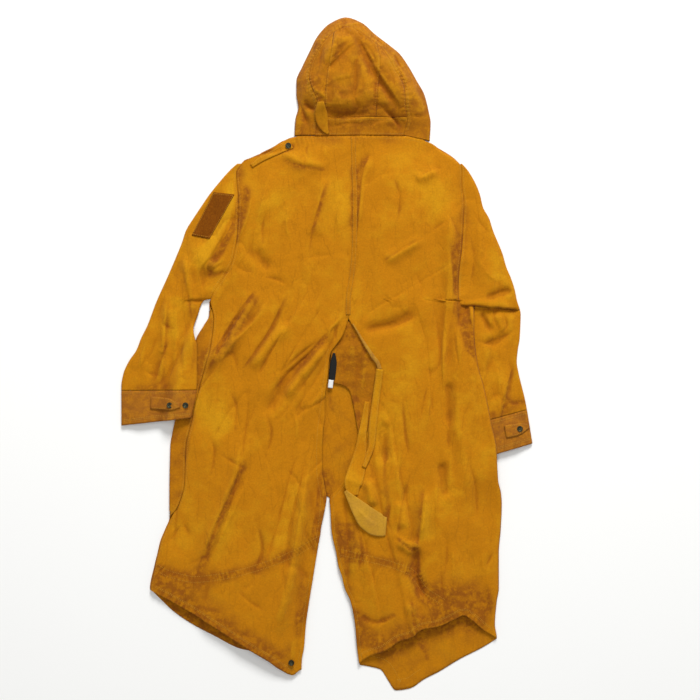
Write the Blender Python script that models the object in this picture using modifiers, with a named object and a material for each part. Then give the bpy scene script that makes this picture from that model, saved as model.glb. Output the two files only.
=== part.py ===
"""Hooded canvas parka laid flat, face down, built as the panels a maker cuts and sews.

Frame: metres, +Z up, +Y towards the hood. The origin is on the floor under the middle of the coat.
The tables below are in millimetres, measured on the coat as it lies: x across, y along.
Every cloth piece is a grid whose points are laid on a height field and given a wall inwards.
"""

import bpy
import numpy as np
from mathutils import Vector
from mathutils.bvhtree import BVHTree

MM = 0.001

# Driving dimensions, millimetres
CLOTH_WALL = 1.6            # canvas with its turnings
TRIM_WALL = 1.2             # tape, tab, patch and label
SEAM_GAP = 0.3              # between two pieces at a seam
ROW_STEP = 23.0             # length of a cell along the coat
BODY_EDGE_HEIGHT = 9.0      # body at its rounded side edge
BODY_EDGE_WIDTH = 9.0       # how far in the side edge is round
BODY_CROWN = 11.0           # further rise in the middle of the body
BODY_CROWN_REACH = 150.0    # from the edge to the full crown
SIDE_FOLD_RADIUS = 4.5      # the front folded over the left side
SLEEVE_CROWN = 4.0          # rise in the middle of a flattened sleeve
SLEEVE_EDGE_WIDTH = 7.0     # how far in its edges are round
SLEEVE_ON_BODY = 14.2       # the left sleeve lies this high on the body's side
BODY_ON_SLEEVE = 11.6       # the body's right side lies this high on the right sleeve
LIFT_RAMP = 30.0            # run over which cloth climbs onto what it lies on
HOOD_HEIGHT = 46.0          # puffed-up middle of the hood
HOOD_EDGE_HEIGHT = 5.0
HOOD_REACH = 80.0           # from the hood's outline to its full height
HOOD_NECK_RUN = 90.0        # the hood comes down to the neck over this length
HOOD_RIM_UNDER = 28.0       # casing turned under, on the floor
HOOD_GAP = 1.6              # between the hood's pieces, whose seams are curved
VENT_DROP = 11.0            # the tails' inner edges lie lower than the middle of the back
VENT_DROP_RUN = 260.0       # along the coat, from the vent's top to the full drop
VENT_DROP_REACH = 80.0      # across, from a tail's inner edge to where it is full again
BACK_EDGE_LOW = 3.4         # the back's side edge above the floor
CUFF_GAP = 0.8              # where a sleeve's rows end at its cuff or at the elbow fold
REST_GAP = 0.4              # a small piece above the panel that it lies on
ZIP_WIDTH = 7.0
ZIP_HEIGHT = 2.2
ZIP_SLIDER = (8.0, 14.0, 3.4)
SNAP_RADIUS = 6.2
SNAP_HEIGHT = 2.6

# Outlines and seams as they lie: rows of (y, x)
BODY_LEFT = (
    (452, -69), (427, -114), (403, -174), (378, -200), (354, -221), (304, -256), (255, -268),
    (204, -260), (153, -248), (112, -243), (81, -243), (60, -254), (32, -270), (9, -276),
    (-52, -295), (-93, -303), (-134, -313), (-163, -319), (-188, -323), (-298, -325), (-335, -325),
    (-360, -334), (-384, -344), (-409, -350), (-434, -356), (-483, -366), (-667, -371),
)
BODY_RIGHT = (
    (452, 212), (427, 228), (403, 265), (378, 292), (354, 306), (317, 318), (255, 322), (194, 310),
    (142, 290), (108, 279), (87, 294), (50, 300), (9, 306), (-28, 312), (-63, 322), (-104, 331),
    (-145, 339), (-192, 349), (-237, 351), (-261, 353), (-286, 359), (-311, 361), (-360, 359),
    (-409, 355), (-483, 355), (-507, 351), (-557, 347), (-587, 351), (-688, 351),
)
ARMHOLE_LEFT = (
    (407, -163), (391, -178), (374, -187), (347, -185), (317, -182), (255, -184), (194, -194),
    (157, -215), (132, -231), (112, -241),
)
ARMHOLE_RIGHT = (
    (407, 265), (386, 278), (347, 279), (317, 283), (224, 279), (173, 273), (122, 271), (108, 273),
)
SIDE_SEAM_LEFT = (
    (112, -241), (71, -233), (19, -239), (-32, -252), (-83, -266), (-145, -280), (-196, -291),
    (-268, -293), (-309, -305), (-333, -319), (-360, -332), (-391, -344), (-421, -352),
    (-452, -358), (-483, -364), (-667, -368),
)
CENTRE_BACK = (
    (452, 54), (378, 56), (317, 58), (214, 56), (153, 50), (112, 44), (71, 44),
)
VENT_LEFT = (
    (71, 44), (40, 33), (19, 19), (5, 9), (-11, 5), (-52, 1), (-69, -2), (-93, -4), (-124, -8),
    (-155, -12), (-196, -14), (-237, -14), (-268, -10), (-294, -6), (-329, -8), (-360, -12),
    (-409, -20), (-458, -28), (-507, -36), (-557, -43), (-606, -47), (-626, -51), (-667, -53),
)
VENT_RIGHT = (
    (71, 46), (50, 58), (24, 72), (-5, 89), (-28, 103), (-63, 99), (-93, 95), (-145, 87),
    (-186, 74), (-216, 60), (-247, 44), (-265, 31), (-280, 19), (-296, 5), (-319, 7), (-360, 9),
    (-384, 13), (-409, 19), (-434, 23), (-458, 31), (-483, 37), (-507, 48), (-532, 54), (-557, 58),
    (-606, 62), (-637, 66), (-688, 68),
)
CENTRE_FRONT = (
    (452, 42), (214, 23), (9, 1), (-134, -14), (-237, -16), (-294, -6),
)

# Edges across the coat: rows of (x, y)
SHOULDER_LEFT = (
    (-182, 388), (-172, 399), (-157, 405), (-116, 425), (-90, 441), (-65, 448), (-34, 449),
    (54, 449),
)
SHOULDER_RIGHT = (
    (42, 449), (158, 448), (212, 436), (228, 427), (265, 403), (279, 386),
)
HEM_BACK_LEFT = (
    (-364, -485), (-301, -518), (-233, -559), (-176, -596), (-157, -608), (-137, -620),
    (-120, -630), (-98, -647), (-69, -661), (-59, -653), (-51, -649),
)
HEM_BACK_RIGHT = (
    (66, -637), (87, -622), (119, -610), (150, -589), (175, -581), (195, -565), (228, -559),
    (263, -544), (281, -536), (300, -548), (324, -569), (351, -585),
)
HEM_FRONT_LEFT = (
    (-366, -483), (-342, -507), (-315, -532), (-278, -557), (-233, -581), (-178, -608),
    (-137, -616), (-96, -641), (-69, -655), (-51, -643),
)
HEM_FRONT_RIGHT = (
    (66, -641), (89, -645), (111, -651), (126, -673), (142, -694), (171, -690), (201, -671),
    (232, -655), (273, -630), (320, -606), (351, -587),
)

# Sleeve edges below the underarm and outer edges: rows of (y, x)
SLEEVE_LEFT_OUTER = (
    (407, -166), (391, -188), (378, -202), (354, -223), (329, -243), (304, -260), (280, -276),
    (255, -291), (231, -299), (206, -309), (157, -330), (108, -352), (58, -371), (34, -383),
    (9, -393), (-15, -409), (-40, -420), (-65, -424), (-155, -424),
)
SLEEVE_LEFT_INNER = (
    (120, -243), (106, -258), (81, -266), (54, -274), (32, -270), (19, -266), (-52, -266),
    (-83, -268), (-110, -274), (-130, -278), (-155, -280),
)
SLEEVE_RIGHT_OUTER = (
    (407, 265), (391, 281), (378, 292), (354, 306), (329, 316), (304, 322), (280, 335), (255, 343),
    (231, 353), (206, 363), (181, 370), (157, 380), (132, 388), (112, 392), (83, 400), (34, 398),
    (9, 394), (-15, 392), (-40, 396), (-65, 402), (-89, 408), (-114, 413), (-138, 417),
    (-163, 421), (-188, 425), (-216, 429),
)
SLEEVE_RIGHT_INNER = (
    (120, 306), (87, 302), (50, 292), (9, 281), (-28, 275), (-93, 273), (-151, 275), (-186, 283),
    (-224, 290),
)

# Hood rim: outline on the floor and the casing's seam: rows of (outer x, outer y, seam x, seam y)
HOOD_RIM = (
    (-67, 451, -24, 451), (-65, 485, -20, 487), (-59, 509, -20, 516), (-63, 538, -30, 542),
    (-63, 563, -36, 567), (-51, 593, -30, 600), (-36, 624, -20, 620), (-20, 655, -6, 641),
    (7, 683, 17, 661), (39, 695, 42, 671), (70, 685, 64, 663), (101, 659, 91, 645),
    (130, 637, 115, 626), (150, 620, 128, 604), (169, 593, 138, 583), (185, 565, 152, 563),
    (201, 536, 160, 538), (210, 501, 162, 505), (214, 477, 165, 481), (212, 440, 158, 451),
)
HOOD_SEAM_LEFT = (
    (665, 15), (604, 7), (573, 1), (511, -4), (450, -6),
)
HOOD_SEAM_RIGHT = (
    (665, 93), (634, 103), (604, 109), (563, 107), (485, 101), (450, 101),
)
NECK_BAND_TOP = 485.8
NECK_SEAM = 449.6

# Folds: rows of (start x, start y, middle x, middle y, end x, end y, rise, half width).
# A rise below nought is a trough.
BODY_FOLDS = (
    (253, 337, 257, 153, 271, -52, 10, 15),
    (249, -52, 253, -93, 253, -155, -6, 11),
    (-153, -155, -200, -298, -268, -458, 10, 15),
    (-34, -175, -59, -401, -106, -585, 8, 13),
    (-141, 138, -198, 30, -254, -36, 13, 15),
    (-131, 317, -153, 214, -106, 163, -6, 13),
    (1, 374, -14, 296, -30, 235, 6, 13),
    (-100, 419, -55, 393, 7, 382, 6, 11),
    (201, 243, 150, 210, 113, 190, 6, 11),
    (232, 382, 201, 366, 181, 358, 6, 11),
    (68, 50, 130, 60, 191, 91, -6, 11),
    (7, 26, -55, -42, -86, -93, 10, 12),
    (-14, 17, -86, -63, -133, -134, -8, 12),
    (-75, 71, -120, 19, -157, -32, 8, 12),
    (236, -216, 242, -257, 249, -298, -6, 11),
    (140, -380, 171, -399, 191, -386, 8, 10),
    (187, -391, 179, -452, 201, -503, -8, 11),
    (171, -503, 181, -544, 187, -585, 6, 11),
    (119, -134, 117, -186, 119, -227, -8, 11),
    (150, -298, 152, -329, 154, -360, 6, 11),
    (201, -278, 195, -329, 191, -380, 6, 11),
    (80, -253, 89, -282, 97, -315, 10, 10),
    (93, 409, 72, 358, 62, 235, 6, 11),
)
SLEEVE_LEFT_FOLDS = (
    (-301, 214, -284, 132, -276, 60, 6, 10),
    (-325, 132, -332, 30, -340, -63, 7, 10),
    (-248, 190, -231, 177, -215, 161, 7, 9),
)
SLEEVE_RIGHT_FOLDS = (
    (324, 114, 355, 126, 388, 134, -5, 9),
    (304, 317, 314, 235, 308, 153, 4, 10),
    (316, 89, 326, 67, 339, 44, -4, 9),
    (349, 85, 355, 65, 365, 42, 4, 9),
    (322, 26, 347, 24, 386, 46, -4, 9),
)
HOOD_FOLDS = (
    (60, 657, 93, 583, 154, 489, -16, 12),
    (80, 665, 121, 591, 171, 509, 6, 12),
    (54, 637, 21, 608, 1, 575, -10, 9),
    (39, 657, 15, 628, -10, 591, 8, 10),
    (62, 604, 58, 552, 52, 505, -8, 9),
    (-6, 495, 37, 487, 93, 495, -14, 8),
    (7, 522, 37, 514, 72, 526, 8, 10),
    (146, 604, 156, 575, 171, 555, 6, 8),
    (101, 563, 101, 526, 99, 493, -5, 8),
    (-55, 514, -36, 507, -18, 505, -9, 7),
    (-55, 501, -45, 485, -36, 464, -6, 7),
    (37, 579, 31, 555, 31, 526, 5, 11),
    (171, 604, 187, 555, 199, 497, 4, 9),
)

# Where a seam, an edge or a fold starts or ends: y, or (y at the inner edge, y at the outer edge)
VENT_TOP = 70.7
FRONT_SPLIT = -294.2        # below it the fronts follow the tails' inner edges
SLEEVE_TOP = 382.3
UNDERARM = 111.7
WRAP_TOP = 115.8            # the left front shows on the back from here
WRAP_BOTTOM = -351.6        # to here
WRAP_RUN = 30.0             # over which the fold opens at its two ends
STRIP_SHARE = 0.15          # the left front's columns: this share on the strip that shows,
TURN_SHARE = 0.5            # and up to this one round the fold
TUCK_BOTTOM = -228.6        # the right sleeve is under the coat's side down to here
SLEEVE_LIFT_TOP = 78.9      # the left sleeve lies on the coat's side below this
UPPER_ROWS_END = 374.1
LEFT_ROWS_END = -470.5
RIGHT_ROWS_END = -503.3
LEFT_SLEEVE_END = (-72.8, -74.8)
LEFT_CUFF_END = (-130.2, -146.6)
RIGHT_ELBOW = (101.5, 91.2)
RIGHT_SLEEVE_END = (-150.7, -113.8)
RIGHT_CUFF_END = (-222.4, -183.5)

# Height of a flattened sleeve: rows of (y, height)
SLEEVE_LEFT_HEIGHTS = (
    (391, 9), (112, 9), (-75, 9), (-155, 8),
)
SLEEVE_RIGHT_HEIGHTS = (
    (391, 9), (112, 9), (87, 6.8), (-237, 6.8),
)

# Rows of the hood's panels: y
HOOD_SIDE_ROWS = (557, 538, 520, 501)
HOOD_CENTRE_ROWS = (618, 604, 589, 575, 561, 546, 532, 518, 503)

# Piece under the vent: its ends, how far it sinks between the tails, and its edges as rows of (y, x)
UNDERLAP_TOP = 56.4
UNDERLAP_BOTTOM = -171.2
UNDERLAP_SAG = 4.0
UNDERLAP_LOWEST = 4.2
UNDERLAP_LEFT = (
    (60, 31), (30, 15), (5, 9), (-52, 7), (-59, 15), (-64, 37), (-77, 48), (-93, 52), (-124, 58),
    (-155, 64), (-175, 66),
)
UNDERLAP_RIGHT = (
    (60, 54), (30, 76), (-1, 97), (-28, 117), (-63, 119), (-93, 115), (-124, 105), (-155, 85),
    (-175, 70),
)

# Tapes and straps: ends, widths, and routes as rows of (x, y)
CENTRE_TAPE_TOP = 445.9
CENTRE_TAPE_BOTTOM = 81.0
CENTRE_TAPE_WIDTH = 9.0
VENT_TAPE_WIDTH = 8.0
VENT_TAPE_BOTTOM = -23.6
STRAP_UPPER_ROUTE = (
    (109, -30), (105, -63), (101, -93), (95, -145), (93, -186), (85, -212),
)
STRAP_UPPER_WIDTHS = (14.0, 15.0, 15.0, 17.0, 16.0, 12.0)
STRAP_LOOP_ROUTE = (
    (83, -97), (76, -134), (70, -169), (60, -206), (48, -247), (48, -274),
)
STRAP_LOOP_WIDTHS = (10.0, 14.0, 20.0, 27.0, 30.0, 22.0)
STRAP_END_ROUTE = (
    (37, -276), (58, -302), (83, -331), (109, -345), (128, -339),
)
STRAP_END_WIDTHS = (8.0, 20.0, 30.0, 26.0, 10.0)
EPAULETTE_ROUTE = (
    (-73, 432), (-104, 417), (-133, 403), (-155, 388),
)
EPAULETTE_WIDTHS = (17.0, 14.0, 12.0, 8.0)
PATCH_CORNERS = (
    (-233, 334), (-190, 329), (-241, 238), (-278, 245),
)
CUFF_TAB_LEFT_ROUTE = (
    (-362, -99), (-332, -101), (-309, -104), (-299, -104),
)
CUFF_TAB_LEFT_WIDTHS = (26.0, 26.0, 24.0, 8.0)
CUFF_TAB_RIGHT_ROUTE = (
    (367, -159), (388, -155), (408, -149), (417, -147),
)
CUFF_TAB_RIGHT_WIDTHS = (26.0, 26.0, 22.0, 8.0)
HOOD_FLAP_ROUTE = (
    (-20, 511), (-12, 495), (-4, 477), (5, 456),
)
HOOD_FLAP_WIDTHS = (8.0, 16.0, 14.0, 6.0)
LABEL_ROUTE = (
    (15, 3), (14, -15), (12, -34), (10, -52),
)
LABEL_WIDTHS = (4.0, 13.0, 14.0, 13.0)
TAG_ROUTE = (
    (9, -52.4), (8, -60), (7, -69),
)
TAG_WIDTH = 10.0

# Snaps: name, the pieces under it, x, y
SNAPS = (
    ("snap_cuff_left_tab", ("cuff_tab_left",), -321, -104),
    ("snap_cuff_left", ("cuff_left",), -289, -104),
    ("snap_cuff_right", ("cuff_tab_right", "cuff_right"), 397, -153),
    ("snap_epaulette", ("epaulette_left", "back_left"), -79, 429),
    ("snap_tail_left", ("back_left",), -73, -634),
)
CANVAS = (0.53, 0.21, 0.008)
CANVAS_DARK = (0.38, 0.13, 0.02)
CANVAS_LIGHT = (0.52, 0.28, 0.02)
LOOP_PILE = (0.25, 0.06, 0.005)
BLACK_TAPE = (0.012, 0.012, 0.012)
WHITE_TAPE = (0.85, 0.85, 0.82)
DARK_METAL = (0.03, 0.03, 0.022)
BRASS = (0.35, 0.22, 0.07)


def clear_scene():
    for item in list(bpy.data.objects):
        bpy.data.objects.remove(item, do_unlink=True)


def material(name, colour, roughness=0.85, metallic=0.0):
    made = bpy.data.materials.new(name)
    made.use_nodes = True
    shader = made.node_tree.nodes["Principled BSDF"]
    shader.inputs["Base Color"].default_value = (*colour, 1.0)
    shader.inputs["Roughness"].default_value = roughness
    shader.inputs["Metallic"].default_value = metallic
    return made


def smooth(value):
    part = np.clip(value, 0.0, 1.0)
    return part * part * (3.0 - 2.0 * part)


def mix(first, second, share):
    return first + (second - first) * share


def follow(table, at):
    # smooth line through a two-column table, level with its neighbours where it turns back
    rows = np.array(sorted(table), dtype=float)
    keys = rows[:, 0]
    values = rows[:, 1]
    steps = np.diff(keys)
    slopes = np.diff(values) / steps
    tangents = np.zeros(len(keys))
    tangents[0] = slopes[0]
    tangents[-1] = slopes[-1]
    before = slopes[:-1]
    after = slopes[1:]
    same_way = before * after > 0.0
    sums = np.where(same_way, before + after, 1.0)
    tangents[1:-1] = np.where(same_way, 2.0 * before * after / sums, 0.0)
    at = np.clip(np.asarray(at, dtype=float), keys[0], keys[-1])
    cell = np.clip(np.searchsorted(keys, at, side="right") - 1, 0, len(steps) - 1)
    part = (at - keys[cell]) / steps[cell]
    square = part * part
    cube = square * part
    return (values[cell] * (2.0 * cube - 3.0 * square + 1.0)
            + tangents[cell] * steps[cell] * (cube - 2.0 * square + part)
            + values[cell + 1] * (3.0 * square - 2.0 * cube)
            + tangents[cell + 1] * steps[cell] * (cube - square))


def folds_rise(folds, x, y):
    # each fold is a soft ridge or trough along two straight runs, fading at both ends
    total = np.zeros(np.broadcast(x, y).shape)
    for x0, y0, x1, y1, x2, y2, rise, half in folds:
        nearest = np.full(total.shape, 1e9)
        along = np.zeros(total.shape)
        for number, (ax, ay, bx, by) in enumerate(((x0, y0, x1, y1), (x1, y1, x2, y2))):
            run = (bx - ax) ** 2 + (by - ay) ** 2
            part = np.clip(((x - ax) * (bx - ax) + (y - ay) * (by - ay)) / run, 0.0, 1.0)
            gap = np.hypot(x - ax - part * (bx - ax), y - ay - part * (by - ay))
            closer = gap < nearest
            nearest = np.where(closer, gap, nearest)
            along = np.where(closer, (number + part) / 2.0, along)
        ends = smooth(4.0 * np.minimum(along, 1.0 - along))
        total = total + rise * ends * np.exp(-(nearest / half) ** 2)
    return total


def round_edge(inside, width, low, high):
    part = np.clip(inside / width, 0.0, 1.0)
    return low + (high - low) * np.sqrt(np.clip(1.0 - (1.0 - part) ** 2, 0.0, 1.0))


def wrap_share(y):
    # 1 where the left front is folded over the coat's side
    return smooth((WRAP_TOP - y) / WRAP_RUN) * smooth((y - WRAP_BOTTOM) / WRAP_RUN)


def body_under(x, y):
    # the coat's right side lies on its own sleeve
    edge = follow(SLEEVE_RIGHT_INNER, y) - 3.0
    across = smooth((x - edge + LIFT_RAMP) / LIFT_RAMP)
    along = smooth((y - TUCK_BOTTOM + 40.0) / 40.0) * smooth((UNDERARM - y) / 40.0)
    return BODY_ON_SLEEVE * across * along


def body_over(x, y):
    left = x - follow(BODY_LEFT, y)
    right = follow(BODY_RIGHT, y) - x
    wrapped = wrap_share(y)
    low = mix(BACK_EDGE_LOW, SIDE_FOLD_RADIUS, wrapped)
    width = mix(BODY_EDGE_WIDTH, SIDE_FOLD_RADIUS, wrapped)
    edge = np.minimum(round_edge(left, width, low, BODY_EDGE_HEIGHT),
                      round_edge(right, BODY_EDGE_WIDTH, BACK_EDGE_LOW, BODY_EDGE_HEIGHT))
    inside = np.minimum(left, right)
    crown = BODY_CROWN * smooth(inside / BODY_CROWN_REACH)
    beside_vent = np.maximum(follow(VENT_LEFT, y) - x, x - follow(VENT_RIGHT, y))
    sunk = VENT_DROP * smooth((VENT_TOP - y) / VENT_DROP_RUN) * (1.0 - smooth(beside_vent / VENT_DROP_REACH))
    folds = folds_rise(BODY_FOLDS, x, y) * smooth((inside - 6.0) / 30.0)
    return body_under(x, y) + edge + np.maximum(crown + folds - sunk, 0.0)


class Sleeve:
    def __init__(self, inner, outer, armhole, lift, folds, heights):
        self.inner = inner
        self.outer = outer
        self.armhole = armhole
        self.lift = lift
        self.folds = folds
        self.heights = heights      # (y, height) along the sleeve

    def inner_edge(self, y):
        return np.where(y > UNDERARM, follow(self.armhole, y), follow(self.inner, y))

    def outer_edge(self, y):
        return follow(self.outer, y)

    def surfaces(self, x, y):
        # heights of the under and the upper face
        inner = self.inner_edge(y)
        outer = self.outer_edge(y)
        width = np.maximum(np.abs(inner - outer), 1.0)
        from_inner = np.abs(inner - x)
        from_outer = np.maximum(width - from_inner, 0.0)
        turn = np.minimum(SLEEVE_EDGE_WIDTH, 0.3 * width)
        closed = smooth((UNDERARM + 4.0 - y) / 24.0)
        inner_round = mix(1.0, round_edge(from_inner, turn, 0.0, 1.0), closed)
        full = np.minimum(inner_round, round_edge(from_outer, turn, 0.0, 1.0))
        middle = np.minimum(from_outer, mix(60.0, from_inner, closed))
        roof = follow(self.heights, y) + SLEEVE_CROWN * smooth(middle / 40.0)
        roof = roof + folds_rise(self.folds, x, y) * smooth((middle - 4.0) / 14.0)
        at_armhole = body_over(inner, y)
        joined = (1.0 - closed) * smooth(1.0 - from_inner / 45.0)
        roof = mix(roof, at_armhole, joined)
        base = self.lift(x, y)
        lips = 0.35 * (1.0 - inner_round)
        return base + roof * (0.5 - 0.5 * full) - lips, base + roof * (0.5 + 0.5 * full) + lips


def left_sleeve_lift(x, y):
    edge = follow(BODY_LEFT, y) - 4.0
    along = smooth((SLEEVE_LIFT_TOP - y) / 30.0)
    return SLEEVE_ON_BODY * along * smooth((x - edge + LIFT_RAMP) / LIFT_RAMP)


def on_floor(x, y):
    return np.zeros(np.broadcast(x, y).shape)


LEFT_SLEEVE = Sleeve(SLEEVE_LEFT_INNER, SLEEVE_LEFT_OUTER, ARMHOLE_LEFT, left_sleeve_lift,
                     SLEEVE_LEFT_FOLDS, SLEEVE_LEFT_HEIGHTS)
RIGHT_SLEEVE = Sleeve(SLEEVE_RIGHT_INNER, SLEEVE_RIGHT_OUTER, ARMHOLE_RIGHT, on_floor,
                      SLEEVE_RIGHT_FOLDS, SLEEVE_RIGHT_HEIGHTS)


def hood_over(x, y):
    points = [(row[0], row[1]) for row in HOOD_RIM]
    nearest = np.full(np.broadcast(x, y).shape, 1e9)
    for (ax, ay), (bx, by) in zip(points[:-1], points[1:]):
        run = (bx - ax) ** 2 + (by - ay) ** 2
        part = np.clip(((x - ax) * (bx - ax) + (y - ay) * (by - ay)) / run, 0.0, 1.0)
        nearest = np.minimum(nearest, np.hypot(x - ax - part * (bx - ax), y - ay - part * (by - ay)))
    part = np.clip(nearest / HOOD_REACH, 0.0, 1.0)
    dome = HOOD_EDGE_HEIGHT + (HOOD_HEIGHT - HOOD_EDGE_HEIGHT) * (1.0 - (1.0 - part) ** 2) ** 0.75
    rim = np.minimum(dome, body_over(x, NECK_SEAM - 2.0))
    near_neck = smooth(1.0 - (y - NECK_SEAM) / HOOD_NECK_RUN)
    folds = folds_rise(HOOD_FOLDS, x, y) * smooth((nearest - 4.0) / 20.0)
    return mix(dome, rim, near_neck) + folds * (1.0 - near_neck ** 4)


def cloth(name, points, finish, wall=CLOTH_WALL, even=True):
    # points[row][column] in millimetres, rows running down the coat; the wall goes inwards
    points = np.asarray(points, dtype=float)
    rows = points.shape[0] - 1
    columns = points.shape[1] - 1
    bpy.ops.mesh.primitive_grid_add(x_subdivisions=columns, y_subdivisions=rows, size=1.0)
    grid = bpy.context.object
    grid.name = name
    mesh = grid.data
    mesh.name = name
    for vertex in mesh.vertices:
        column = int(round((vertex.co.x + 0.5) * columns))
        row = int(round((0.5 - vertex.co.y) * rows))
        vertex.co = Vector(points[row, column] * MM)
    mesh.shade_smooth()
    for other in list(grid.users_collection):
        other.objects.unlink(grid)
    COAT.objects.link(grid)
    mesh.materials.append(finish)
    shell = grid.modifiers.new("wall", "SOLIDIFY")
    shell.thickness = wall * MM
    shell.offset = -1.0
    shell.use_even_offset = even
    return grid


def between(left, right):
    # place across a panel, from the share of its width and the y along it
    def across(y, share):
        return mix(left(y), right(y), share)
    return across


def panel_points(across, top, bottom, shares, stations, upper_rows, lower_rows):
    # columns follow the side edges; rows are level at the stations and fan to the end edges
    first = stations[0]
    last = stations[-1]
    places = []
    for share in shares:
        start = first
        end = last
        for _ in range(12):
            start = float(top(across(start, share)))
            end = float(bottom(across(end, share)))
        ys = list(np.linspace(start, first, upper_rows + 1)[:-1])
        ys += list(stations)
        ys += list(np.linspace(last, end, lower_rows + 1)[1:])
        places.append([(float(across(y, share)), y) for y in ys])
    return np.array(places).transpose(1, 0, 2)


def lay(places, height):
    x = places[:, :, 0]
    y = places[:, :, 1]
    return np.dstack((x, y, height(x, y)))


def level_rows(start, end):
    count = max(1, int(round((start - end) / ROW_STEP)))
    return np.linspace(start, end, count + 1)


BODY_ROWS = np.concatenate((level_rows(UPPER_ROWS_END, UNDERARM)[:-1],
                            level_rows(UNDERARM, VENT_TOP)[:-1],
                            level_rows(VENT_TOP, LEFT_ROWS_END)))


def left_seam(y):
    return np.where(y > UNDERARM, follow(ARMHOLE_LEFT, y), follow(SIDE_SEAM_LEFT, y))


def right_seam(y):
    return np.where(y > UNDERARM, follow(ARMHOLE_RIGHT, y), follow(BODY_RIGHT, y))


def back_left_inner(y):
    return np.where(y > VENT_TOP, follow(CENTRE_BACK, y), follow(VENT_LEFT, y)) - SEAM_GAP / 2.0


def back_right_inner(y):
    return np.where(y > VENT_TOP, follow(CENTRE_BACK, y), follow(VENT_RIGHT, y)) + SEAM_GAP / 2.0


def make_backs(finish):
    shares = np.array((0.0, 0.03, 0.09, 0.16, 0.24, 0.32, 0.4, 0.48, 0.56, 0.64, 0.72, 0.8, 0.87, 0.94, 1.0))
    places = panel_points(between(lambda y: left_seam(y) + SEAM_GAP / 2.0, back_left_inner),
                          lambda x: follow(SHOULDER_LEFT, x), lambda x: follow(HEM_BACK_LEFT, x),
                          shares, BODY_ROWS, 3, 3)
    cloth("back_left", lay(places, body_over), finish)
    rows = np.concatenate((BODY_ROWS[:-1], level_rows(BODY_ROWS[-1], RIGHT_ROWS_END)))
    places = panel_points(between(back_right_inner, lambda y: right_seam(y) - SEAM_GAP / 2.0),
                          lambda x: follow(SHOULDER_RIGHT, x), lambda x: follow(HEM_BACK_RIGHT, x),
                          1.0 - shares[::-1], rows, 3, 2)
    cloth("back_right", lay(places, body_over), finish)


def curled(x, y):
    # the left front's outer strip goes round the side and over the back
    share = wrap_share(y)
    radius = SIDE_FOLD_RADIUS * np.maximum(share, 0.02)
    start = follow(BODY_LEFT, y) + radius
    past = start - x
    turn = np.clip(past / radius, 0.0, np.pi)
    over = np.maximum(past - np.pi * radius, 0.0)
    new_x = np.where(past <= 0.0, x, start - radius * np.sin(turn) + over)
    new_z = np.where(past <= 0.0, 0.0, radius * (1.0 - np.cos(turn)))
    climb = smooth(over / 6.0)
    roof = np.maximum(body_over(new_x, y), new_z)
    new_z = np.where(over > 0.0, mix(new_z, roof, climb * share), new_z)
    return new_x, new_z


def make_front_left(finish):
    def outline(y):
        return mix(follow(ARMHOLE_LEFT, y), follow(BODY_LEFT, y), np.where(y > UNDERARM, 0.0, 1.0))

    def outer(y):
        share = wrap_share(y)
        radius = SIDE_FOLD_RADIUS * np.maximum(share, 0.02)
        strip = np.maximum(follow(SIDE_SEAM_LEFT, y) - follow(BODY_LEFT, y) - radius, 0.0) - SEAM_GAP
        return outline(y) + SEAM_GAP / 2.0 + (radius - np.pi * radius - np.maximum(strip, 0.0)) * share

    def inner(y):
        return np.where(y > FRONT_SPLIT, follow(CENTRE_FRONT, y) - ZIP_WIDTH / 2.0 - SEAM_GAP,
                        follow(VENT_LEFT, y) - 1.5)

    def across(y, share):
        # columns gather where the cloth turns round the side
        edge = outer(y)
        middle = inner(y)
        radius = SIDE_FOLD_RADIUS * np.maximum(wrap_share(y), 0.02)
        turn_start = follow(BODY_LEFT, y) + radius
        turn_end = turn_start - np.pi * radius
        stops = (0.0, STRIP_SHARE, TURN_SHARE, 1.0)
        spots = (edge, turn_end, turn_start, middle)
        folded = np.interp(share, stops, [float(spot) for spot in spots])
        return mix(mix(edge, middle, share), folded, wrap_share(y))

    strip = np.linspace(0.0, STRIP_SHARE, 3)
    turn = np.linspace(STRIP_SHARE, TURN_SHARE, 6)[1:]
    shares = np.concatenate((strip, turn, (0.57, 0.7, 0.85, 1.0)))
    places = panel_points(across, lambda x: follow(SHOULDER_LEFT, x),
                          lambda x: follow(HEM_FRONT_LEFT, x), shares, BODY_ROWS, 2, 3)
    x, z = curled(places[:, :, 0], places[:, :, 1])
    points = np.dstack((x, places[:, :, 1], z))
    cloth("front_left", points[:, ::-1], finish)


def make_front_right(finish):
    def inner(y):
        return np.where(y > FRONT_SPLIT, follow(CENTRE_FRONT, y) + ZIP_WIDTH / 2.0 + SEAM_GAP,
                        follow(VENT_RIGHT, y) + 1.5)

    rows = np.concatenate((BODY_ROWS[:-1], level_rows(BODY_ROWS[-1], RIGHT_ROWS_END)))
    shares = np.array((0.0, 0.2, 0.4, 0.55, 0.66, 0.74, 0.81, 0.87, 0.93, 1.0))
    places = panel_points(between(inner, lambda y: right_seam(y) - SEAM_GAP / 2.0),
                          lambda x: follow(SHOULDER_RIGHT, x), lambda x: follow(HEM_FRONT_RIGHT, x),
                          shares, rows, 2, 3)
    points = lay(places, body_under)
    cloth("front_right", points[:, ::-1], finish)


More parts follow.
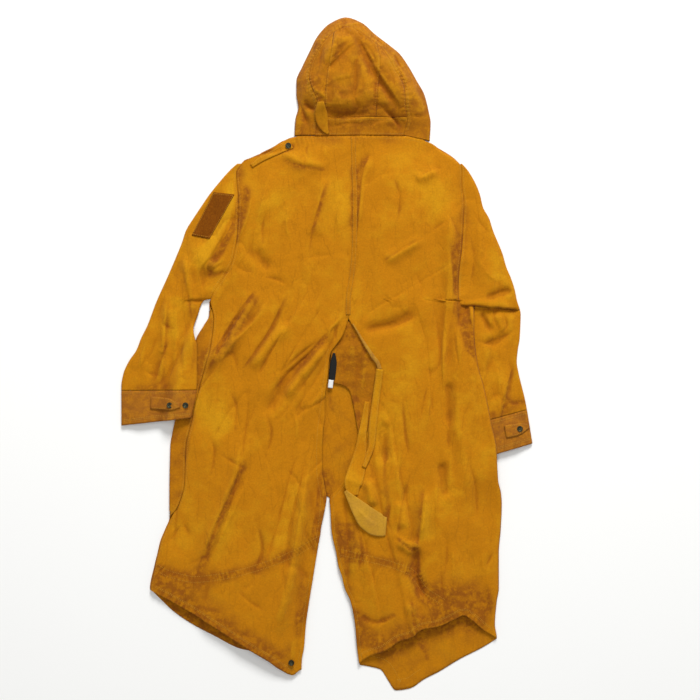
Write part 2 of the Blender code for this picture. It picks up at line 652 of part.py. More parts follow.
def sleeve_points(sleeve, row_ends, drops=None):
    # row_ends: (y at the inner edge, y at the outer edge); a row runs round the flattened tube
    quarter = 1.0 - np.cos(np.radians((0.0, 30.0, 60.0, 90.0)))
    points = []
    for number, (inner_y, outer_y) in enumerate(row_ends):
        inner_x = float(sleeve.inner_edge(np.float64(inner_y)))
        outer_x = float(sleeve.outer_edge(np.float64(outer_y)))
        side = np.sign(outer_x - inner_x)
        inner_x = inner_x + side * (SEAM_GAP / 2.0 if inner_y < UPPER_ROWS_END + 1.0 else 1.6)
        width = abs(outer_x - inner_x)
        turn = min(SLEEVE_EDGE_WIDTH, 0.3 * width) / width
        near = quarter * turn
        under = np.concatenate((near, np.linspace(turn, 1.0 - turn, 6)[1:], 1.0 - near[:-1][::-1]))
        over = np.concatenate((1.0 - near[1:], np.linspace(1.0 - turn, turn, 8)[1:-1], near[::-1]))
        row = []
        for shares, face in ((under, 0), (over, 1)):
            x = mix(inner_x, outer_x, shares)
            y = mix(inner_y, outer_y, shares)
            low, high = sleeve.surfaces(x, y)
            z = (low, high)[face]
            if drops is not None:
                z = z - face * drops[number] * smooth(np.minimum(shares, 1.0 - shares) / 0.15)
            row.append(np.column_stack((x, y, z)))
        points.append(np.vstack(row))
    points = np.array(points)
    if outer_x > inner_x:
        points = points[:, ::-1]
    return points


def rows_between(start, end, count):
    inner = np.linspace(start[0], end[0], count + 1)
    outer = np.linspace(start[1], end[1], count + 1)
    return list(zip(inner, outer))


def make_sleeves(finish, dark):
    armhole = [(y, y) for y in (SLEEVE_TOP, *BODY_ROWS) if y > UNDERARM + 1.0]
    start = (UNDERARM, UNDERARM)
    rows = armhole + rows_between(start, LEFT_SLEEVE_END, 8)
    cloth("sleeve_left", sleeve_points(LEFT_SLEEVE, rows), finish)
    cuff = rows_between((LEFT_SLEEVE_END[0] - CUFF_GAP, LEFT_SLEEVE_END[1] - CUFF_GAP),
                        LEFT_CUFF_END, 4)
    cloth("cuff_left", sleeve_points(LEFT_SLEEVE, cuff), dark)
    rows = armhole + [start, RIGHT_ELBOW]
    drops = [0.0] * (len(rows) - 1) + [2.0]
    cloth("sleeve_right_upper", sleeve_points(RIGHT_SLEEVE, rows, drops), finish)
    below = (RIGHT_ELBOW[0] - CUFF_GAP, RIGHT_ELBOW[1] - CUFF_GAP)
    rows = rows_between(below, RIGHT_SLEEVE_END, 9)
    drops = [3.0, 2.0] + [0.0] * 8
    cloth("sleeve_right_lower", sleeve_points(RIGHT_SLEEVE, rows, drops), finish)
    below = (RIGHT_SLEEVE_END[0] - CUFF_GAP, RIGHT_SLEEVE_END[1] - CUFF_GAP)
    cloth("cuff_right", sleeve_points(RIGHT_SLEEVE, rows_between(below, RIGHT_CUFF_END, 4)), dark)


def straight(table, at):
    rows = np.array(sorted(table), dtype=float)
    return np.interp(at, rows[:, 0], rows[:, 1])


def rim_seam(first, last, by_y):
    rows = HOOD_RIM[first:last + 1]
    return [(row[3], row[2]) if by_y else (row[2], row[3]) for row in rows]


def make_hood(finish):
    angles = np.radians((30.0, 60.0, 90.0))
    in_steps = HOOD_EDGE_HEIGHT * (1.0 - np.cos(angles))
    low_steps = HOOD_EDGE_HEIGHT * (1.0 - np.sin(angles))
    points = []
    for outer_x, outer_y, seam_x, seam_y in HOOD_RIM:
        outer = np.array((outer_x, outer_y), dtype=float)
        seam = np.array((seam_x, seam_y), dtype=float)
        length = np.linalg.norm(outer - seam)
        way = (outer - seam) / length
        inward = [length - HOOD_GAP / 2.0, length * 0.66, length * 0.4, length * 0.2, 2.5, 0.0]
        spots = np.array([outer - way * step for step in inward])
        heights = hood_over(spots[:, 0], spots[:, 1])
        row = list(np.column_stack((spots, heights)))
        for step, height in zip(in_steps, low_steps):
            row.append((*(outer - way * step), height))
        for step in (HOOD_RIM_UNDER * 0.6, HOOD_RIM_UNDER):
            row.append((*(outer - way * step), 0.0))
        points.append(row)
    cloth("hood_rim", points, finish)
    gap = HOOD_GAP / 2.0
    side_shares = np.linspace(0.0, 1.0, 4)
    parts = (
        ("hood_left", lambda y: straight(rim_seam(0, 4, True), y) + 2.0 * gap,
         lambda y: follow(HOOD_SEAM_LEFT, y) - gap, rim_seam(4, 8, False), HOOD_SIDE_ROWS, 5, side_shares),
        ("hood_centre", lambda y: follow(HOOD_SEAM_LEFT, y) + gap,
         lambda y: follow(HOOD_SEAM_RIGHT, y) - gap, rim_seam(7, 12, False), HOOD_CENTRE_ROWS, 3,
         np.linspace(0.0, 1.0, 9)),
        ("hood_right", lambda y: follow(HOOD_SEAM_RIGHT, y) + gap,
         lambda y: straight(rim_seam(15, 19, True), y) - gap, rim_seam(11, 15, False), HOOD_SIDE_ROWS, 5,
         side_shares),
    )
    for name, left, right, top, stations, fan, shares in parts:
        places = panel_points(between(left, right), lambda x, line=top: straight(line, x) - gap,
                              lambda x: NECK_BAND_TOP + gap, shares, stations, fan, 1)
        cloth(name, lay(places, hood_over), finish)
    places = panel_points(between(lambda y: straight(rim_seam(0, 2, True), y) + gap,
                                  lambda y: straight(rim_seam(17, 19, True), y) - gap),
                          lambda x: NECK_BAND_TOP - gap, lambda x: NECK_SEAM, np.linspace(0.0, 1.0, 13),
                          (NECK_BAND_TOP - 12.0, NECK_SEAM + 10.0), 1, 1)
    cloth("hood_neck_band", lay(places, hood_over), finish)


class Ground:
    # the real facets of the panels that a small piece lies on
    def __init__(self, *names):
        view = bpy.context.evaluated_depsgraph_get()
        self.trees = [BVHTree.FromObject(bpy.data.objects[name], view) for name in names]

    def height(self, x, y):
        best = 0.0
        tilt = 1.0
        for tree in self.trees:
            hit, normal, _, _ = tree.ray_cast(Vector((x * MM, y * MM, 1.0)), Vector((0.0, 0.0, -1.0)))
            if hit is not None and hit.z / MM > best:
                best = hit.z / MM
                tilt = max(abs(normal.z), 0.5)
        return best, tilt

    def under(self, x, y):
        best = None
        for tree in self.trees:
            hit, _, _, _ = tree.ray_cast(Vector((x * MM, y * MM, 0.002)), Vector((0.0, 0.0, 1.0)))
            if hit is not None and (best is None or hit.z / MM < best):
                best = hit.z / MM
        return best


def reach_down(upper, lower):
    # least drop between two evaluated meshes, from points along the edges of each
    view = bpy.context.evaluated_depsgraph_get()
    least = 1.0
    for one, other, way in ((upper, lower, -1.0), (lower, upper, 1.0)):
        tree = BVHTree.FromObject(other, view)
        shown = one.evaluated_get(view)
        mesh = shown.to_mesh()
        for edge in mesh.edges:
            start, end = (mesh.vertices[index].co for index in edge.vertices)
            for share in (0.0, 0.25, 0.5, 0.75, 1.0):
                _, _, _, distance = tree.ray_cast(start.lerp(end, share), Vector((0.0, 0.0, way)))
                if distance is not None:
                    least = min(least, distance)
        shown.to_mesh_clear()
    return least


def seat(piece, *names):
    # lets a small piece down until it all but touches what it lies on
    drop = min(reach_down(piece, bpy.data.objects[name]) for name in names) - SEAM_GAP * MM
    for vertex in piece.data.vertices:
        vertex.co.z -= drop


def lie_on(ground, places, wall):
    # points moved out from the panel beneath by the wall and a little air
    points = []
    for row in places:
        line = []
        for x, y in row:
            height, tilt = ground.height(x, y)
            line.append((x, y, height + (REST_GAP + wall) / tilt))
        points.append(line)
    return np.array(points)


def settled(heights):
    # a strap bridges hollows: every point is at least as high as its neighbours allow
    result = heights.copy()
    highest = result.max(axis=1)
    for _ in range(3):
        spread = np.maximum(highest, 0.5 * (np.roll(highest, 1) + np.roll(highest, -1)))
        spread[0] = highest[0]
        spread[-1] = highest[-1]
        highest = spread
    return np.maximum(result, highest[:, None])


def band(route, width, count, across=3):
    # flat strip of places along a route of (x, y) points
    route = np.array(route, dtype=float)
    reach = np.concatenate(((0.0,), np.cumsum(np.linalg.norm(np.diff(route, axis=0), axis=1))))
    at = np.linspace(0.0, reach[-1], count + 1)
    x = follow(np.column_stack((reach, route[:, 0])).tolist(), at)
    y = follow(np.column_stack((reach, route[:, 1])).tolist(), at)
    way = np.column_stack((np.gradient(x), np.gradient(y)))
    way = way / np.linalg.norm(way, axis=1)[:, None]
    side = np.column_stack((-way[:, 1], way[:, 0]))
    widths = np.interp(at / reach[-1], np.linspace(0.0, 1.0, len(np.atleast_1d(width))), np.atleast_1d(width))
    shares = np.linspace(-0.5, 0.5, across + 1)
    places = [[(x[k] + side[k][0] * widths[k] * share, y[k] + side[k][1] * widths[k] * share)
               for share in shares] for k in range(count + 1)]
    return np.array(places)


def make_vent(finish, light, dark):
    across = between(lambda y: straight(UNDERLAP_LEFT, y), lambda y: straight(UNDERLAP_RIGHT, y))
    places = panel_points(across, lambda x: UNDERLAP_TOP, lambda x: UNDERLAP_BOTTOM, np.linspace(0.0, 1.0, 6),
                          np.linspace(UNDERLAP_TOP - 10.0, UNDERLAP_BOTTOM + 10.0, 14), 1, 1)
    cover = Ground("back_left", "back_right")
    points = []
    for row in places:
        line = []
        for x, y in row:
            roof = cover.under(x, y)
            edge = float(follow(VENT_RIGHT, y))
            free = float(body_over(edge, y)) - CLOTH_WALL - 2.0 - UNDERLAP_SAG * smooth((edge - x) / 60.0)
            free = max(free, UNDERLAP_LOWEST)
            line.append((x, y, free if roof is None else min(roof - 0.7, free + 1.0)))
        points.append(line)
    cloth("vent_underlap", points, finish)
    tape = Ground("back_left", "back_right")
    rows = level_rows(CENTRE_TAPE_TOP, CENTRE_TAPE_BOTTOM)
    rows = np.linspace(CENTRE_TAPE_TOP, CENTRE_TAPE_BOTTOM, 2 * len(rows))
    half = CENTRE_TAPE_WIDTH / 2.0
    places = [[(float(follow(CENTRE_BACK, y)) + side, y) for side in (-half, -2.4, 2.4, half)] for y in rows]
    cloth("centre_back_tape", lie_on(tape, places, TRIM_WALL), dark, TRIM_WALL)
    facing = [(float(follow(VENT_RIGHT, y)) + VENT_TAPE_WIDTH * 0.5 + 2.8, y)
              for y in np.linspace(VENT_TOP - 8.0, VENT_TAPE_BOTTOM, 8)]
    right = Ground("back_right")
    facing = lie_on(right, band(facing, VENT_TAPE_WIDTH, 24, 2)[:, ::-1], TRIM_WALL)
    seat(cloth("vent_facing", facing, light, TRIM_WALL), "back_right")


def make_strap(light, finish):
    under = ("back_right", "vent_underlap", "front_right", "vent_facing")
    floor = Ground(*under)
    loop = lie_on(floor, band(STRAP_LOOP_ROUTE, STRAP_LOOP_WIDTHS, 26)[:, ::-1], TRIM_WALL)
    loop[:, :, 2] = settled(loop[:, :, 2])
    seat(cloth("vent_strap_loop", loop, finish, TRIM_WALL), *under)
    under = (*under, "vent_strap_loop")
    floor = Ground(*under)
    upper = lie_on(floor, band(STRAP_UPPER_ROUTE, STRAP_UPPER_WIDTHS, 22)[:, ::-1], TRIM_WALL)
    upper[:, :, 2] = settled(upper[:, :, 2])
    seat(cloth("vent_strap_upper", upper, finish, TRIM_WALL), *under)
    end = lie_on(floor, band(STRAP_END_ROUTE, STRAP_END_WIDTHS, 12)[:, ::-1], TRIM_WALL)
    end[:, :, 2] = settled(end[:, :, 2])
    seat(cloth("vent_strap_end", end, light, TRIM_WALL), *under)


def make_trims(finish, dark, pile):
    shoulder = Ground("back_left")
    strap = lie_on(shoulder, band(EPAULETTE_ROUTE, EPAULETTE_WIDTHS, 12)[:, ::-1], TRIM_WALL)
    seat(cloth("epaulette_left", strap, dark, TRIM_WALL), "back_left")
    sleeve = Ground("sleeve_left")
    corners = np.array(PATCH_CORNERS, dtype=float)
    places = []
    for down in np.linspace(0.0, 1.0, 13):
        left = mix(corners[0], corners[3], down)
        right = mix(corners[1], corners[2], down)
        places.append([mix(left, right, share) for share in np.linspace(0.0, 1.0, 9)])
    cloth("sleeve_loop_patch", lie_on(sleeve, places, TRIM_WALL), pile, TRIM_WALL)
    for name, under, route, widths in (
            ("cuff_tab_left", "cuff_left", CUFF_TAB_LEFT_ROUTE, CUFF_TAB_LEFT_WIDTHS),
            ("cuff_tab_right", "cuff_right", CUFF_TAB_RIGHT_ROUTE, CUFF_TAB_RIGHT_WIDTHS)):
        tab = lie_on(Ground(under), band(route, widths, 8)[:, ::-1], TRIM_WALL)
        seat(cloth(name, tab, dark, TRIM_WALL), under)
    hood = ("hood_rim", "hood_left", "hood_centre", "hood_neck_band")
    flap = lie_on(Ground(*hood), band(HOOD_FLAP_ROUTE, HOOD_FLAP_WIDTHS, 6)[:, ::-1], TRIM_WALL)
    flap[:, :, 2] = settled(flap[:, :, 2])
    seat(cloth("hood_flap_left", flap, finish, TRIM_WALL), *hood)


def make_snaps(metal):
    for name, under, x, y in SNAPS:
        ground = Ground(*under)
        ring = [(x + SNAP_RADIUS * np.cos(a), y + SNAP_RADIUS * np.sin(a))
                for a in np.linspace(0.0, 2.0 * np.pi, 9)[:-1]]
        base = max(ground.height(px, py)[0] for px, py in ring + [(x, y)]) + SEAM_GAP
        bpy.ops.mesh.primitive_cylinder_add(vertices=14, radius=SNAP_RADIUS * MM, depth=SNAP_HEIGHT * MM,
                                            location=(x * MM, y * MM, (base + SNAP_HEIGHT / 2.0) * MM))
        snap = bpy.context.object
        snap.name = name
        for other in list(snap.users_collection):
            other.objects.unlink(snap)
        COAT.objects.link(snap)
        snap.data.materials.append(metal)
        edge = snap.modifiers.new("edge", "BEVEL")
        edge.width = 0.7 * MM
        edge.segments = 1
        edge.limit_method = "ANGLE"


def make_label(black, white):
    ground = Ground("vent_underlap", "front_right")
    tape = lie_on(ground, band(LABEL_ROUTE, LABEL_WIDTHS, 8, 2)[:, ::-1], TRIM_WALL)
    tape[:, :, 2] = tape[:, :, 2].max(axis=1)[:, None]
    loop = cloth("label_loop", tape, black, TRIM_WALL)
    seat(loop, "vent_underlap", "front_right")
    tag = band(TAG_ROUTE, TAG_WIDTH, 2, 1)[:, ::-1]
    level = np.full(tag.shape[:2] + (1,), max(vertex.co.z for vertex in loop.data.vertices) / MM)
    tag = cloth("label_tag", np.concatenate((tag, level), axis=2), white, TRIM_WALL)
    seat(tag, "vent_underlap", "front_right")


def make_zip(tape, metal):
    rows = [y for y in BODY_ROWS if y > FRONT_SPLIT + 10.0]
    rows = [CENTRE_TAPE_TOP - 4.0] + rows + [FRONT_SPLIT + 8.0]
    half = ZIP_WIDTH / 2.0
    points = [[(float(follow(CENTRE_FRONT, y)) + side, y, ZIP_HEIGHT) for side in (-half, half)]
              for y in rows]
    cloth("zip_tape", points, tape, ZIP_HEIGHT, even=False)
    y = FRONT_SPLIT + 18.0
    x = float(follow(CENTRE_FRONT, y))
    middle = ZIP_HEIGHT + SEAM_GAP + ZIP_SLIDER[2] / 2.0
    bpy.ops.mesh.primitive_cube_add(size=1.0, location=(x * MM, y * MM, middle * MM))
    slider = bpy.context.object
    slider.name = "zip_slider"
    for vertex in slider.data.vertices:
        vertex.co = Vector([part * size for part, size in zip(vertex.co, ZIP_SLIDER)]) * MM
    for other in list(slider.users_collection):
        other.objects.unlink(slider)
    COAT.objects.link(slider)
    slider.data.materials.append(metal)
    edge = slider.modifiers.new("edge", "BEVEL")
    edge.width = 1.0 * MM
    edge.segments = 1


clear_scene()
COAT = bpy.data.collections.new("hooded_canvas_parka")
bpy.context.scene.collection.children.link(COAT)
canvas = material("ochre_canvas", CANVAS)
canvas_dark = material("ochre_canvas_seams", CANVAS_DARK)
canvas_light = material("ochre_canvas_inside", CANVAS_LIGHT)
loop_pile = material("rust_loop_pile", LOOP_PILE, 0.95)
black_tape = material("black_tape", BLACK_TAPE, 0.7)
white_tape = material("white_tape", WHITE_TAPE, 0.7)
snap_metal = material("dark_snap_metal", DARK_METAL, 0.45, 0.8)
zip_metal = material("zip_brass", BRASS, 0.4, 1.0)
make_backs(canvas)
make_front_left(canvas)
make_front_right(canvas)
make_sleeves(canvas, canvas_dark)
make_hood(canvas)
make_vent(canvas, canvas_light, canvas_dark)
make_strap(canvas_light, canvas)
make_trims(canvas, canvas_dark, loop_pile)
make_snaps(snap_metal)
make_label(black_tape, white_tape)
make_zip(canvas_dark, zip_metal)
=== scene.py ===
# Long hooded canvas parka, laid flat on its front with its back up.
# Lengths in the tables and settings are millimetres as the coat lies: x across it, y along it, z up.
# Meshes are in metres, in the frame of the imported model.

import bpy
import numpy as np
from mathutils import Matrix, Vector
from mathutils.bvhtree import BVHTree


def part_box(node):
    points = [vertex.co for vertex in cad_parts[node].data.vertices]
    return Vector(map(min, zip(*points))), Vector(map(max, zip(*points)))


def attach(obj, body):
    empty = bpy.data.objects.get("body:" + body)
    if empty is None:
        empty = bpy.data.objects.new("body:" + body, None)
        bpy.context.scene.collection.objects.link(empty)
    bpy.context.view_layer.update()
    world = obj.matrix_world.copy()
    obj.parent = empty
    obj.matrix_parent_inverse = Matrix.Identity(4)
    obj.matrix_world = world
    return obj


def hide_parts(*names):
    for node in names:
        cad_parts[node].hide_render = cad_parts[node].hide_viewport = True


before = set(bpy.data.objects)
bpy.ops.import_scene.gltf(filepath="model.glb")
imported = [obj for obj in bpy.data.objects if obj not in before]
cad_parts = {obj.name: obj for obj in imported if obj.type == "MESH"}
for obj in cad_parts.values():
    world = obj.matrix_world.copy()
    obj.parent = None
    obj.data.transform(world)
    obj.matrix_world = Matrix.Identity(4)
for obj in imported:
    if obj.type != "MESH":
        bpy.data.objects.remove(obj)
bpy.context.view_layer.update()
mm = 0.001
print("frame loaded")


# Small maths

def smooth(value):
    part = np.clip(value, 0.0, 1.0)
    return part * part * (3.0 - 2.0 * part)


def mix(first, second, share):
    return first + (second - first) * share


def follow(table, at):
    # smooth line through rows of (place, value), without overshoot
    rows = np.array(sorted(table), dtype=float)
    keys = rows[:, 0]
    values = rows[:, 1]
    steps = np.diff(keys)
    slopes = np.diff(values) / steps
    tangents = np.zeros(len(keys))
    tangents[0] = slopes[0]
    tangents[-1] = slopes[-1]
    before = slopes[:-1]
    after = slopes[1:]
    sameWay = before * after > 0.0
    sums = np.where(sameWay, before + after, 1.0)
    tangents[1:-1] = np.where(sameWay, 2.0 * before * after / sums, 0.0)
    at = np.clip(np.asarray(at, dtype=float), keys[0], keys[-1])
    cell = np.clip(np.searchsorted(keys, at, side="right") - 1, 0, len(steps) - 1)
    part = (at - keys[cell]) / steps[cell]
    square = part * part
    cube = square * part
    return (values[cell] * (2.0 * cube - 3.0 * square + 1.0)
            + tangents[cell] * steps[cell] * (cube - 2.0 * square + part)
            + values[cell + 1] * (3.0 * square - 2.0 * cube)
            + tangents[cell + 1] * steps[cell] * (cube - square))


def straight(table, at):
    rows = np.array(sorted(table), dtype=float)
    return np.interp(at, rows[:, 0], rows[:, 1])


def routeOf(points, step=8.0):
    # smooth line through a few points, as many close points
    points = np.array(points, dtype=float)
    reach = np.concatenate(((0.0,), np.cumsum(np.linalg.norm(np.diff(points, axis=0), axis=1))))
    at = np.linspace(0.0, reach[-1], max(2, int(reach[-1] / step)) + 1)
    x = follow(list(zip(reach, points[:, 0])), at)
    y = follow(list(zip(reach, points[:, 1])), at)
    return np.column_stack((x, y))


def leftOf(line):
    # unit steps to the left of a line's way
    way = np.column_stack((np.gradient(line[:, 0]), np.gradient(line[:, 1])))
    way = way / np.linalg.norm(way, axis=1)[:, None]
    return np.column_stack((-way[:, 1], way[:, 0]))


def near(x, y, line, reach):
    # which points are inside the line's box, made wider by the reach
    low = line.min(axis=0) - reach
    high = line.max(axis=0) + reach
    return (x > low[0]) & (x < high[0]) & (y > low[1]) & (y < high[1])


def roundEdge(inside, width, low, high):
    part = np.clip(inside / width, 0.0, 1.0)
    return low + (high - low) * np.sqrt(np.clip(1.0 - (1.0 - part) ** 2, 0.0, 1.0))


def besideLine(x, y, line):
    # distance to a line, the side (above nought is the left of its way), and the share of its length
    nearest = np.full(x.shape, 1e9)
    side = np.zeros(x.shape)
    along = np.zeros(x.shape)
    count = len(line) - 1
    for number in range(count):
        ax, ay = line[number]
        bx, by = line[number + 1] - line[number]
        part = np.clip(((x - ax) * bx + (y - ay) * by) / (bx * bx + by * by), 0.0, 1.0)
        offX = x - ax - part * bx
        offY = y - ay - part * by
        gap = np.hypot(offX, offY)
        closer = gap < nearest
        nearest = np.where(closer, gap, nearest)
        side = np.where(closer, bx * offY - by * offX, side)
        along = np.where(closer, (number + part) / count, along)
    return nearest, side, along


def creased(x, y, rows, fading=2.2, sharpness=1.0):
    # rows of (route, rise, left half width, right half width): a narrow side makes a fold steep there
    total = np.zeros(x.shape)
    for route, rise, left, right in rows:
        line = routeOf(route)
        close = near(x, y, line, 2.6 * max(left, right))
        if not close.any():
            continue
        gap, side, along = besideLine(x[close], y[close], line)
        half = np.where(side > 0.0, left, right)
        ends = smooth(fading * np.minimum(along, 1.0 - along))
        total[close] += rise * ends * np.exp(-(gap / half) ** sharpness)
    return total


def hashed(column, row, seed):
    spread = np.sin(column * 127.1 + row * 311.7 + seed * 74.7) * 43758.5453
    return spread - np.floor(spread)


def softNoise(x, y, size, seed):
    # smooth noise from -1 to 1
    u = x / size
    v = y / size
    column = np.floor(u)
    row = np.floor(v)
    fu = smooth(u - column)
    fv = smooth(v - row)
    low = mix(hashed(column, row, seed), hashed(column + 1, row, seed), fu)
    high = mix(hashed(column, row + 1, seed), hashed(column + 1, row + 1, seed), fu)
    return 2.0 * mix(low, high, fv) - 1.0


def crumpled(x, y, size, seed):
    # flat facets between random heights, meeting in short straight creases, from -1 to 1
    warpX = x + 0.45 * size * softNoise(x, y, 0.9 * size, seed + 11)
    warpY = y + 0.45 * size * softNoise(x, y, 0.9 * size, seed + 23)
    u = warpX / size
    v = warpY / size
    skew = (u + v) * 0.366
    column = np.floor(u + skew)
    row = np.floor(v + skew)
    fu = u + skew - column
    fv = v + skew - row
    start = hashed(column, row, seed)
    end = hashed(column + 1, row + 1, seed)
    across = hashed(column + 1, row, seed)
    along = hashed(column, row + 1, seed)
    lower = start * (1.0 - fu) + across * (fu - fv) + end * fv
    upper = start * (1.0 - fv) + along * (fv - fu) + end * fu
    return 2.0 * np.where(fu > fv, lower, upper) - 1.0


# Sizes of this coat, as it lies

# Outlines and seams as they lie: rows of (y, x)
bodyLeft = (
    (452, -69), (427, -114), (403, -174), (378, -200), (354, -221), (304, -256), (255, -268), (204, -260),
    (153, -248), (112, -243), (81, -243), (60, -254), (32, -270), (9, -276), (-52, -295), (-93, -303),
    (-134, -313), (-163, -319), (-188, -323), (-298, -325), (-335, -325), (-360, -334), (-384, -344),
    (-409, -350), (-434, -356), (-483, -366), (-667, -371),
)
bodyRight = (
    (452, 212), (427, 228), (403, 265), (378, 292), (354, 306), (317, 318), (255, 322), (194, 310),
    (142, 291), (112, 300), (98, 303), (87, 303), (50, 303), (9, 306), (-28, 312), (-63, 322),
    (-104, 331), (-145, 339), (-192, 349), (-237, 351), (-261, 353), (-286, 359), (-311, 361),
    (-360, 359), (-409, 355), (-483, 355), (-507, 351), (-557, 347), (-587, 351), (-688, 351),
)
armholeLeft = (
    (407, -163), (391, -178), (374, -187), (347, -185), (317, -182), (255, -184), (194, -194),
    (157, -215), (132, -231), (112, -241),
)
armholeRight = (
    (407, 265), (386, 278), (347, 279), (317, 283), (224, 279), (173, 273), (122, 271), (108, 273),
)
sideSeamLeft = (
    (112, -241), (71, -233), (19, -239), (-32, -252), (-83, -266), (-145, -280), (-196, -291),
    (-268, -293), (-309, -305), (-333, -319), (-360, -332), (-391, -344), (-421, -352), (-452, -358),
    (-483, -364), (-667, -368),
)
centreBack = ((452, 54), (378, 56), (317, 58), (214, 56), (153, 50), (112, 44), (71, 44))
ventLeft = (
    (71, 44), (40, 33), (19, 19), (5, 9), (-11, 5), (-52, 1), (-69, -2), (-93, -4), (-124, -8),
    (-155, -12), (-196, -14), (-237, -14), (-268, -10), (-294, -6), (-329, -8), (-360, -12), (-409, -20),
    (-458, -28), (-507, -36), (-557, -43), (-606, -47), (-626, -51), (-667, -53),
)
ventRight = (
    (71, 46), (50, 58), (24, 72), (-5, 89), (-28, 103), (-63, 99), (-93, 95), (-145, 87), (-186, 74),
    (-216, 60), (-247, 44), (-265, 31), (-280, 19), (-296, 5), (-319, 7), (-360, 9), (-384, 13),
    (-409, 19), (-434, 23), (-458, 31), (-483, 37), (-507, 48), (-532, 54), (-557, 58), (-606, 62),
    (-637, 66), (-688, 68),
)
centreFront = ((452, 42), (214, 23), (9, 1), (-134, -14), (-237, -16), (-294, -6))

# Edges across the coat: rows of (x, y)
shoulderLeft = (
    (-182, 388), (-172, 399), (-157, 405), (-116, 425), (-90, 441), (-65, 448), (-34, 449), (54, 449),
)
shoulderRight = ((42, 449), (158, 448), (212, 436), (228, 427), (265, 403), (279, 386))
hemBackLeft = (
    (-364, -485), (-301, -518), (-233, -559), (-176, -596), (-157, -608), (-137, -620), (-120, -630),
    (-98, -647), (-69, -661), (-59, -653), (-51, -649),
)
hemBackRight = (
    (66, -637), (87, -622), (119, -610), (150, -589), (175, -581), (195, -565), (228, -559), (263, -544),
    (281, -536), (300, -548), (324, -569), (351, -585),
)
hemFrontLeft = (
    (-366, -483), (-342, -507), (-315, -532), (-278, -557), (-233, -581), (-178, -608), (-137, -616),
    (-96, -641), (-69, -655), (-51, -643),
)
hemFrontRight = (
    (66, -641), (89, -645), (111, -651), (126, -673), (142, -694), (171, -690), (201, -671), (232, -655),
    (273, -630), (320, -606), (351, -587),
)

# Sleeve edges below the underarm and outer edges: rows of (y, x)
sleeveLeftOuter = (
    (407, -166), (391, -188), (378, -202), (354, -223), (329, -243), (304, -260), (280, -276),
    (255, -291), (231, -299), (206, -309), (157, -330), (108, -352), (58, -371), (34, -383), (9, -393),
    (-15, -409), (-40, -420), (-65, -424), (-155, -424),
)
sleeveLeftInner = (
    (120, -243), (106, -258), (81, -266), (54, -274), (32, -270), (19, -266), (-52, -266), (-83, -268),
    (-110, -274), (-130, -278), (-155, -280),
)
sleeveRightOuter = (
    (407, 265), (391, 281), (378, 292), (354, 306), (329, 316), (304, 322), (280, 335), (255, 343),
    (231, 353), (206, 363), (181, 370), (157, 380), (132, 388), (112, 392), (83, 400), (34, 398),
    (9, 394), (-15, 392), (-40, 396), (-65, 402), (-89, 408), (-114, 413), (-138, 417), (-163, 421),
    (-188, 425), (-216, 429),
)
sleeveRightInner = (
    (120, 306), (87, 302), (50, 292), (9, 281), (-28, 275), (-93, 273), (-151, 275), (-186, 283),
    (-224, 290),
)

# Hood rim: outline on the floor and the casing's seam: rows of (outer x, outer y, seam x, seam y)
hoodRim = (
    (-67, 451, -24, 451), (-65, 485, -20, 487), (-59, 509, -20, 516), (-63, 538, -30, 542),
    (-63, 563, -36, 567), (-51, 593, -30, 600), (-36, 624, -20, 620), (-20, 655, -6, 641),
    (7, 683, 17, 661), (39, 695, 42, 671), (70, 685, 64, 663), (101, 659, 91, 645), (130, 637, 115, 626),
    (150, 620, 128, 604), (169, 593, 138, 583), (185, 565, 152, 563), (201, 536, 160, 538),
    (210, 501, 162, 505), (214, 477, 165, 481), (212, 440, 158, 451),
)
hoodSeamLeft = ((665, 15), (604, 7), (573, 1), (511, -4), (450, -6))
hoodSeamRight = ((665, 93), (634, 103), (604, 109), (563, 107), (485, 101), (450, 101))

# Folds: rows of (start x, start y, middle x, middle y, end x, end y, rise, half width).
# A rise below nought is a trough.
bodyFolds = (
    (253, 337, 257, 153, 271, -52, 10, 15), (249, -52, 253, -93, 253, -155, -6, 11),
    (-153, -155, -200, -298, -268, -458, 10, 15), (-34, -175, -59, -401, -106, -585, 8, 13),
    (-141, 138, -198, 30, -254, -36, 13, 15), (-131, 317, -153, 214, -106, 163, -6, 13),
    (1, 374, -14, 296, -30, 235, 6, 13), (-100, 419, -55, 393, 7, 382, 6, 11),
    (201, 243, 150, 210, 113, 190, 6, 11), (232, 382, 201, 366, 181, 358, 6, 11),
    (68, 50, 130, 60, 191, 91, -6, 11), (7, 26, -55, -42, -86, -93, 10, 12),
    (-14, 17, -86, -63, -133, -134, -8, 12), (-75, 71, -120, 19, -157, -32, 8, 12),
    (236, -216, 242, -257, 249, -298, -6, 11), (140, -380, 171, -399, 191, -386, 8, 10),
    (187, -391, 179, -452, 201, -503, -8, 11), (171, -503, 181, -544, 187, -585, 6, 11),
    (119, -134, 117, -186, 119, -227, -8, 11), (150, -298, 152, -329, 154, -360, 6, 11),
    (201, -278, 195, -329, 191, -380, 6, 11), (80, -253, 89, -282, 97, -315, 10, 10),
    (93, 409, 72, 358, 62, 235, 6, 11),
)
sleeveLeftFolds = (
    (-301, 214, -284, 132, -276, 60, 6, 10), (-325, 132, -332, 30, -340, -63, 7, 10),
    (-248, 190, -231, 177, -215, 161, 7, 9),
)
sleeveRightFolds = (
    (324, 114, 355, 126, 388, 134, -5, 9), (304, 317, 314, 235, 308, 153, 4, 10),
    (316, 89, 326, 67, 339, 44, -4, 9), (349, 85, 355, 65, 365, 42, 4, 9),
    (322, 26, 347, 24, 386, 46, -4, 9),
)
